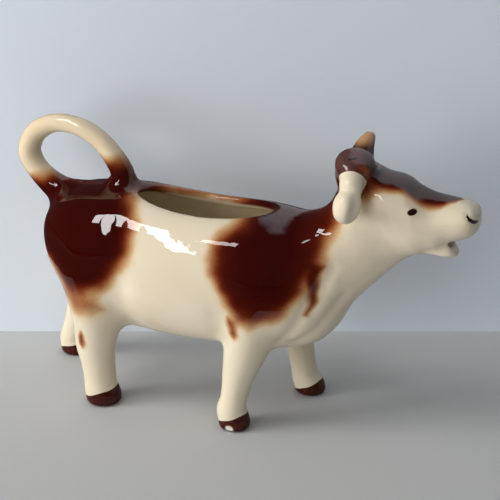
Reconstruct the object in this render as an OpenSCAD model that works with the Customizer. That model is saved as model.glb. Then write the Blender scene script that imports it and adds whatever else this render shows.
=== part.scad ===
/* [Overall] */
// Length from the back of the tail loop to the tip of the muzzle
cow_l = 178; // [150:1:205]
// Height of the design grid that every height share is taken from
cow_h = 108; // [92:1:124]
// Greatest width of the barrel of the body
barrel_w = 52; // [44:1:60]

/* [Walls] */
// Thickness of the cast wall of the body, the neck and the head
wall = 3.5; // [2.6:0.1:4.2]

/* [Filler opening] */
// Length of the oval opening in the back, measured at its throat
filler_l = 50.5; // [42:0.5:54]
// Width of the oval opening in the back, measured at its throat
filler_w = 22.5; // [19:0.5:26]
// How far the rounded rim rolls outward from the throat
rim_roll = 2; // [1:0.1:2.4]

/* [Mouth spout] */
// Width of the pouring channel at the mouth
mouth_w = 6.6; // [5.8:0.1:7.4]
// Height of the pouring channel at the mouth
mouth_h = 5.6; // [5:0.1:6]
// Width of the lower lip
lip_w = 9.6; // [8.6:0.1:10.6]
// Depth of the lower lip from its rim to its underside
lip_t = 6.6; // [5.8:0.1:7.4]

/* [Legs and hooves] */
// How far the middle of a hoof stands in from the widest side of the barrel
stance_in = 7.5; // [6:0.5:9.5]
// Reference diameter that the thickness of every leg is taken from
leg_d = 12; // [10.5:0.1:13]

/* [Tail handle] */
// Reference diameter that the thickness of the tail is taken from
tail_d = 8; // [6.5:0.1:9]

/* [Horns and ears] */
// Diameter of a horn at its root
horn_d = 12.4; // [10:0.1:13.5]
// Diameter of the lobe of an ear
ear_d = 9.6; // [8:0.1:10.5]

/* [Hidden] */
// Distance across between the middles of a left and a right hoof
stance_w = barrel_w - 2 * stance_in;

// Body shell from the rump to the neck seam: x and height of the top, x and height of the bottom,
// half width, where it is widest, roundness above and below, wall set in across, set in from the rump
trunk_shares = [
  [-0.424, 0.594, -0.418, 0.519, 0.192, 0.5, 2.5, 2.15, 0.6, 1],
  [-0.419, 0.639, -0.403, 0.456, 0.431, 0.5, 2.5, 2.15, 0.75, 0.95],
  [-0.406, 0.687, -0.375, 0.389, 0.623, 0.5, 2.5, 2.15, 0.9, 0.75],
  [-0.38, 0.728, -0.34, 0.333, 0.773, 0.5, 2.45, 2.15, 0.96, 0.5],
  [-0.34, 0.753, -0.304, 0.295, 0.892, 0.5, 2.4, 2.15, 1, 0.25],
  [-0.281, 0.763, -0.261, 0.276, 0.954, 0.5, 2.4, 2.15, 1, 0],
  [-0.213, 0.766, -0.205, 0.263, 0.981, 0.5, 2.4, 2.15, 1, 0],
  [-0.14, 0.758, -0.14, 0.255, 0.992, 0.5, 2.4, 2.15, 1, 0],
  [-0.067, 0.751, -0.067, 0.253, 1, 0.5, 2.4, 2.15, 1, 0],
  [0, 0.748, 0.006, 0.257, 1, 0.503, 2.4, 2.145, 1, 0],
  [0.056, 0.747, 0.079, 0.266, 0.977, 0.509, 2.36, 2.136, 1, 0],
  [0.096, 0.744, 0.146, 0.274, 0.923, 0.514, 2.28, 2.127, 1, 0],
  [0.126, 0.742, 0.197, 0.306, 0.831, 0.519, 2.2, 2.118, 1, 0],
  [0.149, 0.744, 0.231, 0.369, 0.731, 0.525, 2.12, 2.109, 1, 0],
  [0.169, 0.752, 0.258, 0.45, 0.638, 0.53, 2.08, 2.1, 1, 0],
];
// Neck and head shell from the seam to the nose, same first eight columns
head_shares = [
  [0.169, 0.752, 0.258, 0.45, 0.638, 0.53, 2.08, 2.1],
  [0.188, 0.769, 0.283, 0.5, 0.546, 0.537, 2.05, 2.087],
  [0.207, 0.8, 0.307, 0.541, 0.477, 0.545, 2.05, 2.075],
  [0.22, 0.85, 0.327, 0.578, 0.438, 0.552, 2.05, 2.062],
  [0.23, 0.907, 0.346, 0.609, 0.415, 0.56, 2.05, 2.05],
  [0.25, 0.946, 0.362, 0.633, 0.408, 0.56, 2.05, 2.05],
  [0.281, 0.941, 0.376, 0.646, 0.423, 0.56, 2.05, 2.05],
  [0.315, 0.919, 0.39, 0.654, 0.438, 0.56, 2.05, 2.05],
  [0.351, 0.908, 0.402, 0.659, 0.438, 0.56, 2.12, 2.05],
  [0.382, 0.884, 0.413, 0.665, 0.408, 0.56, 2.2, 2.05],
  [0.41, 0.867, 0.426, 0.669, 0.377, 0.56, 2.25, 2.05],
  [0.441, 0.856, 0.445, 0.704, 0.354, 0.56, 2.25, 2.05],
  [0.469, 0.848, 0.471, 0.721, 0.342, 0.56, 2.25, 2.05],
  [0.488, 0.836, 0.488, 0.737, 0.3, 0.56, 2.25, 2.05],
  [0.498, 0.817, 0.498, 0.759, 0.192, 0.56, 2.25, 2.05],
  [0.5, 0.802, 0.5, 0.78, 0.092, 0.56, 2.25, 2.05],
];
// Right hind leg from inside the body down to the sole: x, distance out, height, radius
hind_right_shares = [
  [-0.287, 0.622, 0.463, 0.833],
  [-0.283, 0.719, 0.389, 0.867],
  [-0.281, 0.8, 0.324, 0.817],
  [-0.283, 0.854, 0.264, 0.7],
  [-0.283, 0.897, 0.204, 0.608],
  [-0.279, 0.93, 0.144, 0.542],
  [-0.275, 0.946, 0.093, 0.517],
  [-0.274, 0.957, 0.059, 0.533],
  [-0.269, 0.957, 0.031, 0.562],
  [-0.266, 0.957, 0.013, 0.558],
  [-0.266, 0.957, 0, 0.475],
];
// Left hind leg from inside the body down to the sole: x, distance out, height, radius
hind_left_shares = [
  [-0.344, 0.589, 0.477, 0.775],
  [-0.362, 0.665, 0.405, 0.767],
  [-0.385, 0.746, 0.329, 0.683],
  [-0.404, 0.827, 0.255, 0.6],
  [-0.419, 0.886, 0.19, 0.533],
  [-0.434, 0.93, 0.125, 0.483],
  [-0.444, 0.946, 0.083, 0.475],
  [-0.447, 0.957, 0.056, 0.5],
  [-0.443, 0.957, 0.031, 0.533],
  [-0.44, 0.957, 0.013, 0.533],
  [-0.439, 0.957, 0, 0.45],
];
// Right fore leg from inside the body down to the sole: x, distance out, height, radius
fore_right_shares = [
  [0.069, 0.676, 0.444, 0.783],
  [0.067, 0.789, 0.37, 0.8],
  [0.061, 0.897, 0.296, 0.7],
  [0.049, 0.984, 0.21, 0.525],
  [0.042, 1.016, 0.148, 0.438],
  [0.038, 1.022, 0.102, 0.425],
  [0.034, 1.022, 0.069, 0.471],
  [0.036, 1.022, 0.043, 0.475],
  [0.039, 1.022, 0.026, 0.487],
  [0.039, 1.022, 0.012, 0.483],
  [0.039, 1.022, 0, 0.4],
];
// Left fore leg from inside the body down to the sole: x, distance out, height, radius
fore_left_shares = [
  [0.103, 0.681, 0.426, 0.667],
  [0.106, 0.778, 0.343, 0.633],
  [0.109, 0.876, 0.259, 0.542],
  [0.112, 0.93, 0.194, 0.467],
  [0.118, 0.962, 0.13, 0.425],
  [0.122, 0.968, 0.088, 0.425],
  [0.127, 0.968, 0.059, 0.458],
  [0.133, 0.968, 0.039, 0.483],
  [0.136, 0.968, 0.024, 0.496],
  [0.138, 0.968, 0.011, 0.492],
  [0.138, 0.968, 0, 0.408],
];
// Edge of the dipped brown glaze on each leg: x, height, slope
hind_right_dip_share = [-0.272, 0.046, 0.36];
hind_left_dip_share = [-0.445, 0.041, 0.3];
fore_right_dip_share = [0.036, 0.046, 0.3];
fore_left_dip_share = [0.131, 0.035, 0.4];
// Tail loop from the rump over the top to the back: x, height, radius
tail_shares = [
  [-0.379, 0.694, 0.8],
  [-0.419, 0.733, 0.625],
  [-0.453, 0.781, 0.531],
  [-0.473, 0.843, 0.544],
  [-0.46, 0.907, 0.512],
  [-0.427, 0.948, 0.456],
  [-0.388, 0.962, 0.425],
  [-0.34, 0.949, 0.431],
  [-0.298, 0.909, 0.456],
  [-0.269, 0.854, 0.5],
  [-0.252, 0.802, 0.562],
  [-0.254, 0.761, 0.7],
  [-0.258, 0.722, 0.875],
];
// One ear from its root to its tip: x, distance out, height, radius
ear_shares = [
  [0.256, 0.269, 0.906, 0.312],
  [0.261, 0.4, 0.913, 0.417],
  [0.265, 0.5, 0.898, 0.422],
  [0.263, 0.585, 0.869, 0.323],
  [0.264, 0.65, 0.842, 0.479],
  [0.264, 0.685, 0.823, 0.458],
];
// How much lower and further back the left ear was luted on than the right one
left_ear_shares = [-0.011, 0, -0.028, 0];
// Each horn from its root to its tip, the right one worn to a dome: x, distance out, height, radius
right_horn_shares = [
  [0.254, 0.177, 0.913, 0.484],
  [0.256, 0.196, 0.921, 0.492],
  [0.258, 0.223, 0.933, 0.5],
  [0.261, 0.25, 0.944, 0.5],
];
left_horn_shares = [
  [0.251, 0.215, 0.915, 0.395],
  [0.253, 0.277, 0.939, 0.339],
  [0.256, 0.346, 0.965, 0.27],
  [0.261, 0.419, 0.989, 0.185],
];
// Lower lip from its root to its tip: x, height, half width, half thickness
lip_shares = [
  [0.402, 0.68, 0.438, 0.348],
  [0.424, 0.681, 0.5, 0.455],
  [0.444, 0.685, 0.49, 0.5],
  [0.454, 0.68, 0.406, 0.394],
  [0.461, 0.67, 0.25, 0.197],
  [0.463, 0.667, 0.115, 0.076],
];
// Middle of the filler opening along the body, and heights where the rim starts and ends its roll
filler_x_share = -0.063;
rim_low_share = 0.69;
rim_high_share = 0.773;
// Bottom and top of the filler cut
filler_z_shares = [0.6, 0.87];
// Pouring channel: x and height at its start inside the head, x and height where it leaves below the nose
mouth_shares = [0.36, 0.713, 0.517, 0.713];
// Roundness of the filler opening and of the lip
oval_share = 2.15;
lip_round_share = 3.4;
// Last row of the head table that the hollow reaches
hollow_rows = 11;
// Overrun of cutting solids past the face they cut
over = 1;
// Facets round the outside and the inside of a shell, round a limb, round a small feature
shell_n = 34;
inside_n = 26;
limb_n = 18;
small_n = 14;
// Steps between two rows of a table
shell_steps = 2;
limb_steps = 2;
tail_steps = 2;
ear_steps = 2;
horn_steps = 3;
lip_steps = 1;
rim_steps = 8;
// Glaze colours
cream = [0.93, 0.88, 0.76];
brown = [0.33, 0.11, 0.06];
tan_brown = [0.62, 0.36, 0.18];

function row_at(t, i) = t[max(0, min(len(t) - 1, i))];
// Smooth curve through the rows of a table
function blend(t, i, f) =
  let(a = row_at(t, i - 1), b = row_at(t, i), c = row_at(t, i + 1), d = row_at(t, i + 2))
  b + 0.5 * f * ((c - a) + f * ((2 * a - 5 * b + 4 * c - d) + f * (3 * (b - c) + d - a)));
function refine(t, n) =
  concat([for (i = [0 : len(t) - 2], j = [0 : n - 1]) blend(t, i, j / n)], [t[len(t) - 1]]);
function curve(v, e) = sign(v) * pow(abs(v), 2 / e);

function shell_row(r) =
  [r[0] * cow_l, r[1] * cow_h, r[2] * cow_l, r[3] * cow_h, r[4] * barrel_w / 2, r[5], r[6], r[7]];
// The same section set in by t all round and pushed forward by p
function set_in(r, t, p) = let(d = [r[2] - r[0], r[3] - r[1]], u = d / norm(d))
  [r[0] + u[0] * t + p, r[1] + u[1] * t, r[2] - u[0] * t + p, r[3] - u[1] * t, r[4] - t, r[5], r[6], r[7]];
// The same section moved along its own normal
function move_on(r, m) = let(d = [r[2] - r[0], r[3] - r[1]], u = d / norm(d))
  [r[0] - u[1] * m, r[1] + u[0] * m, r[2] - u[1] * m, r[3] + u[0] * m, r[4], r[5], r[6], r[7]];
function shell_ring(r, n) = [for (k = [0 : n - 1])
  let(a = 360 * k / n, c = cos(a), s = sin(a), e = s > 0 ? r[6] : r[7],
      f = r[5] + (s > 0 ? 1 - r[5] : r[5]) * curve(s, e))
  [r[2] + f * (r[0] - r[2]), r[4] * curve(c, e), r[3] + f * (r[1] - r[3])]];

trunk_outer_rows = [for (r = refine(trunk_shares, shell_steps)) shell_row(r)];
head_outer_rows = [for (r = refine(head_shares, shell_steps)) shell_row(r)];
trunk_in = [for (r = trunk_shares) set_in(shell_row(r), wall * r[8], wall * r[9])];
trunk_inner_rows = [for (i = [0 : len(trunk_in) - 1])
  i < len(trunk_in) - 1 ? trunk_in[i] : move_on(trunk_in[i], over)];
head_in = [for (i = [0 : hollow_rows - 1]) set_in(shell_row(head_shares[i]), wall, 0)];
head_inner_rows = [for (i = [0 : hollow_rows - 1]) i > 0 ? head_in[i] : move_on(head_in[i], -over)];

function loft_faces(m, n) = concat(
  [[for (k = [0 : n - 1]) k]],
  [[for (k = [0 : n - 1]) m * n - 1 - k]],
  [for (i = [0 : m - 2], k = [0 : n - 1]) let(j = (k + 1) % n) [i * n + k, (i + 1) * n + k, (i + 1) * n + j]],
  [for (i = [0 : m - 2], k = [0 : n - 1]) let(j = (k + 1) % n) [i * n + k, (i + 1) * n + j, i * n + j]]);
// Closed skin through a row of rings
module loft(rings) polyhedron(points = [for (g = rings, p = g) p],
  faces = loft_faces(len(rings), len(rings[0])), convexity = 6);
// Chain of convex pieces from ring to ring
module chain(rings) for (i = [0 : len(rings) - 2]) hull() loft([rings[i], rings[i + 1]]);
// Chain of convex pieces from ball to ball
module balls(rows) for (i = [0 : len(rows) - 2]) hull() for (r = [rows[i], rows[i + 1]])
  translate([r[0], r[1], r[2]]) sphere(r = r[3], $fn = small_n);

module trunk_outer() loft([for (r = trunk_outer_rows) shell_ring(r, shell_n)]);
module trunk_inner() loft([for (r = trunk_inner_rows) shell_ring(r, inside_n)]);
module head_outer() loft([for (r = head_outer_rows) shell_ring(r, shell_n)]);
module head_inner() loft([for (r = head_inner_rows) shell_ring(r, inside_n)]);

// Oval filler opening, one ring at height z with the roll r added all round
function oval_ring(z, r) = [for (k = [0 : shell_n - 1]) let(a = 360 * k / shell_n)
  [filler_x_share * cow_l + (filler_l / 2 + r) * curve(cos(a), oval_share),
   (filler_w / 2 + r) * curve(sin(a), oval_share), z]];
rim_low = rim_low_share * cow_h;
rim_high = rim_high_share * cow_h;
filler_rings = concat(
  [oval_ring(filler_z_shares[0] * cow_h, 0)],
  [for (j = [0 : rim_steps]) let(f = j / rim_steps)
    oval_ring(rim_low + f * (rim_high - rim_low), rim_roll * (1 - sqrt(1 - f * f)))],
  [oval_ring(filler_z_shares[1] * cow_h, rim_roll)]);
module filler_cut() chain(filler_rings);

// Pouring channel from the hollow of the head out below the nose
function mouth_ring(f) = [for (k = [0 : limb_n - 1]) let(a = 360 * k / limb_n)
  [(mouth_shares[0] + f * (mouth_shares[2] - mouth_shares[0])) * cow_l, mouth_w / 2 * cos(a),
   (mouth_shares[1] + f * (mouth_shares[3] - mouth_shares[1])) * cow_h + mouth_h / 2 * sin(a)]];
module mouth_cut() chain([for (j = [0 : rim_steps]) mouth_ring(j / rim_steps)]);

// Ring square to the tail's path in the middle plane
function tail_ring(p, q, r) = let(d = [q[0] - p[0], q[1] - p[1]], u = d / norm(d))
  [for (k = [0 : limb_n - 1]) let(a = 360 * k / limb_n)
    [r[0] - r[2] * sin(a) * u[1], r[2] * cos(a), r[1] + r[2] * sin(a) * u[0]]];
tail_rows = [for (r = refine(tail_shares, tail_steps)) [r[0] * cow_l, r[1] * cow_h, r[2] * tail_d]];
tail_rings = [for (i = [0 : len(tail_rows) - 1])
  tail_ring(row_at(tail_rows, i - 1), row_at(tail_rows, i + 1), tail_rows[i])];

function side_rows(t, n, s, d) = [for (r = refine(t, n))
  [r[0] * cow_l, s * r[1] * barrel_w / 2, r[2] * cow_h, r[3] * d]];
module horn_form(t, s) balls(side_rows(t, horn_steps, s, horn_d));
module horn(t, s) difference() { horn_form(t, s); head_outer(); }
module ear(t, h, s) difference() {
  balls(side_rows(t, ear_steps, s, ear_d));
  head_outer();
  horn_form(h, s);
}

function leg_ring(r, s) = [for (k = [0 : limb_n - 1]) let(a = -360 * k / limb_n)
  [r[0] * cow_l + r[3] * leg_d * cos(a), s * r[1] * stance_w / 2 + r[3] * leg_d * sin(a), r[2] * cow_h]];
module leg_form(t, s) chain([for (r = refine(t, limb_steps)) leg_ring(r, s)]);
// Everything below the edge of the dipped glaze
module dip(d, s) translate([d[0] * cow_l, s * stance_w / 2, d[1] * cow_h]) rotate([0, -atan(d[2]), 0])
  translate([-leg_d * 1.5, -leg_d * 1.5, -leg_d * 1.5]) cube([leg_d * 3, leg_d * 3, leg_d * 1.5]);
module leg(t, d, s) difference() { leg_form(t, s); trunk_outer(); dip(d, s); }
module hoof(t, d, s) intersection() { leg_form(t, s); dip(d, s); }

function lip_ring(r) = [for (k = [0 : limb_n - 1]) let(a = 360 * k / limb_n)
  [r[0] * cow_l, r[2] * lip_w * curve(cos(a), lip_round_share),
   r[1] * cow_h + r[3] * lip_t * curve(sin(a), lip_round_share)]];
module lip_form() chain([for (r = refine(lip_shares, lip_steps)) lip_ring(r)]);

module body_shell() color(brown) difference() { trunk_outer(); trunk_inner(); filler_cut(); }
module head_shell() color(cream) difference() { head_outer(); head_inner(); mouth_cut(); }
module lower_lip() color(cream) difference() { lip_form(); head_outer(); mouth_cut(); }
module tail_handle() color(cream) difference() { loft(tail_rings); trunk_outer(); filler_cut(); }
module horn_right() color(brown) horn(right_horn_shares, -1);
module horn_left() color(tan_brown) horn(left_horn_shares, 1);
module ear_right() color(cream) ear(ear_shares, right_horn_shares, -1);
module ear_left() color(cream) ear([for (r = ear_shares) r + left_ear_shares], left_horn_shares, 1);
module leg_hind_right() color(cream) leg(hind_right_shares, hind_right_dip_share, -1);
module leg_hind_left() color(cream) leg(hind_left_shares, hind_left_dip_share, 1);
module leg_fore_right() color(cream) leg(fore_right_shares, fore_right_dip_share, -1);
module leg_fore_left() color(cream) leg(fore_left_shares, fore_left_dip_share, 1);
module hoof_hind_right() color(brown) hoof(hind_right_shares, hind_right_dip_share, -1);
module hoof_hind_left() color(brown) hoof(hind_left_shares, hind_left_dip_share, 1);
module hoof_fore_right() color(brown) hoof(fore_right_shares, fore_right_dip_share, -1);
module hoof_fore_left() color(brown) hoof(fore_left_shares, fore_left_dip_share, 1);

body_shell();
head_shell();
lower_lip();
tail_handle();
horn_right();
horn_left();
ear_right();
ear_left();
leg_hind_right();
leg_hind_left();
leg_fore_right();
leg_fore_left();
hoof_hind_right();
hoof_hind_left();
hoof_fore_right();
hoof_fore_left();
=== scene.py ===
"""Glazed ceramic cow creamer: one blended skin, cut into the pieces it was luted from, glazed and lit."""

import logging
import math
from dataclasses import dataclass, field
from enum import Enum
from typing import Sequence

import bpy
import numpy as np
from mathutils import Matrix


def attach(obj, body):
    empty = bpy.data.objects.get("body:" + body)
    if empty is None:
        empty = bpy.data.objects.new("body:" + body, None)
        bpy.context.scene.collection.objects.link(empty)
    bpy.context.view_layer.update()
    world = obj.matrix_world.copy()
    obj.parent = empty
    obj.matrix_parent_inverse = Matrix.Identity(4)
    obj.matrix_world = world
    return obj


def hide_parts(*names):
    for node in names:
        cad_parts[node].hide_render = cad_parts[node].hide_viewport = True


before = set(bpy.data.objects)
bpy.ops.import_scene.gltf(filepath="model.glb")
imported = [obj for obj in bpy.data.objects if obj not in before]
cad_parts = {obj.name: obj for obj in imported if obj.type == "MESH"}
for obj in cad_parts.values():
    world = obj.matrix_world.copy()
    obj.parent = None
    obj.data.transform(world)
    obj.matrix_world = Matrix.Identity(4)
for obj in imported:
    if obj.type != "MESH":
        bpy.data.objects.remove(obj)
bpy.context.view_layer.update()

import openvdb as vdb
from mathutils import Quaternion, Vector

LOG = logging.getLogger("cow_creamer")
MM = 0.001
Table = Sequence[Sequence[float]]
Array = np.ndarray
Point = tuple[float, float, float]
Colour = tuple[float, float, float]
Stops = tuple[tuple[float, Colour], ...]
# Where a change starts and over how many mm it runs; a negative run goes down
Ease = tuple[float, float]

# Body from the rump to the neck seam, in mm: x and height of the top, x and height of the bottom, half width,
# where it is widest as a share of its height, roundness above and below
TRUNK: Table = (
    (-75.9, 61.4, -75.7, 58.7, 1.6, 0.5, 2.3, 2.15),
    (-75.4, 64.1, -74.4, 56.0, 5.0, 0.5, 2.5, 2.15),
    (-74.6, 69.0, -71.8, 49.2, 11.2, 0.5, 2.5, 2.15),
    (-72.2, 74.2, -66.8, 42.0, 16.2, 0.5, 2.5, 2.15),
    (-67.6, 78.6, -60.6, 36.0, 20.1, 0.5, 2.45, 2.15),
    (-60.5, 81.3, -54.2, 31.9, 23.2, 0.5, 2.4, 2.15),
    (-50.0, 82.4, -46.5, 29.8, 24.8, 0.5, 2.4, 2.15),
    (-38.0, 82.7, -36.5, 28.4, 25.5, 0.5, 2.4, 2.15),
    (-25.0, 81.9, -25.0, 27.5, 25.8, 0.5, 2.4, 2.15),
    (-12.0, 81.1, -12.0, 27.3, 26.0, 0.5, 2.4, 2.15),
    (0.0, 80.8, 1.0, 27.8, 26.0, 0.503, 2.4, 2.145),
    (10.0, 80.7, 14.0, 28.7, 25.4, 0.509, 2.36, 2.136),
    (17.0, 80.4, 26.0, 29.6, 24.0, 0.514, 2.28, 2.127),
    (22.5, 80.1, 35.0, 33.0, 21.6, 0.519, 2.2, 2.118),
    (26.5, 80.3, 41.2, 39.8, 19.0, 0.525, 2.12, 2.109),
    (30.0, 81.2, 46.0, 48.6, 16.6, 0.53, 2.08, 2.1),
)
# Neck and head from just past the seam to the nose, same columns
HEAD: Table = (
    (33.5, 83.0, 50.4, 54.0, 14.2, 0.537, 2.05, 2.087),
    (36.8, 86.4, 54.6, 58.4, 12.4, 0.545, 2.05, 2.075),
    (39.2, 91.8, 58.2, 62.4, 11.4, 0.552, 2.05, 2.062),
    (41.0, 98.0, 61.5, 65.8, 10.8, 0.56, 2.05, 2.05),
    (44.5, 102.2, 64.5, 68.4, 10.6, 0.56, 2.05, 2.05),
    (50.0, 101.6, 67.0, 69.8, 11.0, 0.56, 2.05, 2.05),
    (56.0, 99.2, 69.5, 70.6, 11.4, 0.56, 2.05, 2.05),
    (62.5, 98.1, 71.5, 71.8, 11.4, 0.56, 1.9, 2.05),
    (68.0, 95.5, 73.5, 72.4, 10.6, 0.56, 1.55, 2.05),
    (73.0, 93.6, 75.8, 73.0, 9.8, 0.56, 1.46, 2.05),
    (78.5, 92.5, 79.2, 76.0, 9.2, 0.56, 1.62, 2.05),
    (83.5, 91.6, 83.8, 77.9, 8.9, 0.56, 1.9, 2.05),
    (86.8, 90.3, 86.8, 79.6, 7.8, 0.56, 2.25, 2.05),
    (88.6, 88.2, 88.6, 82.0, 5.0, 0.56, 2.25, 2.05),
    (89.0, 86.6, 89.0, 84.2, 2.4, 0.56, 2.25, 2.05),
)
# The wall from the second row of the body on, as shares of its thickness: set in across, set in from the rump
RUMP_WALL: Table = ((0.6, 1.0), (0.75, 0.95), (0.9, 0.75), (0.96, 0.5), (1.0, 0.25))
HOLLOW_HEAD_ROWS = 10
# Neck seam from top to bottom at the body's last row: x and height
SEAM = (TRUNK[-1][:2], TRUNK[-1][2:4])
# Worn top of the right horn: a point of it and the way it faces
WORN_TOP: tuple[Point, Point] = ((46.6, -7.4, 105.4), (0.1, -0.42, 0.9))


class Side(Enum):
    """The two sides of the animal; the right one faces the camera."""

    RIGHT = -1
    LEFT = 1


def refine(rows: Table, steps: int) -> Array:
    """Smooth curve through the rows of a table.

    Args:
        rows: The table.
        steps: How many rows to make of each.

    Returns:
        The finer table.
    """
    t = np.asarray(rows, float)
    last, out = len(t) - 1, []
    for i in range(last):
        a, b, c, d = t[max(i - 1, 0)], t[i], t[i + 1], t[min(i + 2, last)]
        for f in np.arange(steps) / steps:
            curve = (2 * a - 5 * b + 4 * c - d) + f * (3 * (b - c) + d - a)
            out.append(b + 0.5 * f * ((c - a) + f * curve))
    out.append(t[last])
    return np.array(out)


def bend(value: Array, power: float) -> Array:
    """Rounds a sine or cosine towards a superellipse."""
    return np.sign(value) * np.abs(value) ** (2.0 / power)


def circle(count: int) -> tuple[Array, Array]:
    """Cosine and sine of even steps round a circle."""
    a = np.linspace(0, 2 * math.pi, count, endpoint=False)
    return np.cos(a), np.sin(a)


def loft(rings: Array) -> tuple[Array, Array]:
    """Closed skin through a stack of rings.

    Args:
        rings: Points as (ring, point, xyz).

    Returns:
        Points and triangles.
    """
    m, n = rings.shape[:2]
    grid = np.arange(m * n).reshape(m, n)
    a, b = grid[:-1], grid[1:]
    a2, b2 = np.roll(a, -1, 1), np.roll(b, -1, 1)
    side = np.concatenate([np.stack([a, a2, b2], -1).reshape(-1, 3), np.stack([a, b2, b], -1).reshape(-1, 3)])
    points = np.concatenate([rings.reshape(-1, 3), rings[:1].mean(1), rings[-1:].mean(1)])
    first, last = grid[0], grid[-1]
    start = np.stack([np.roll(first, -1), first, np.full(n, m * n)], -1)
    end = np.stack([last, np.roll(last, -1), np.full(n, m * n + 1)], -1)
    return points, np.concatenate([side, start, end])


def merge(a: Array, b: Array, soft: float) -> Array:
    """Joins two forms with a fillet about as wide as soft, in mm."""
    h = np.maximum(soft - np.abs(a - b), 0.0) / soft
    return np.minimum(a, b) - h * h * (soft * 0.25)


def carve(a: Array, b: Array, soft: float) -> Array:
    """Takes form b out of form a, with an edge rounded by soft, in mm."""
    return -merge(-a, b, soft)


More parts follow.
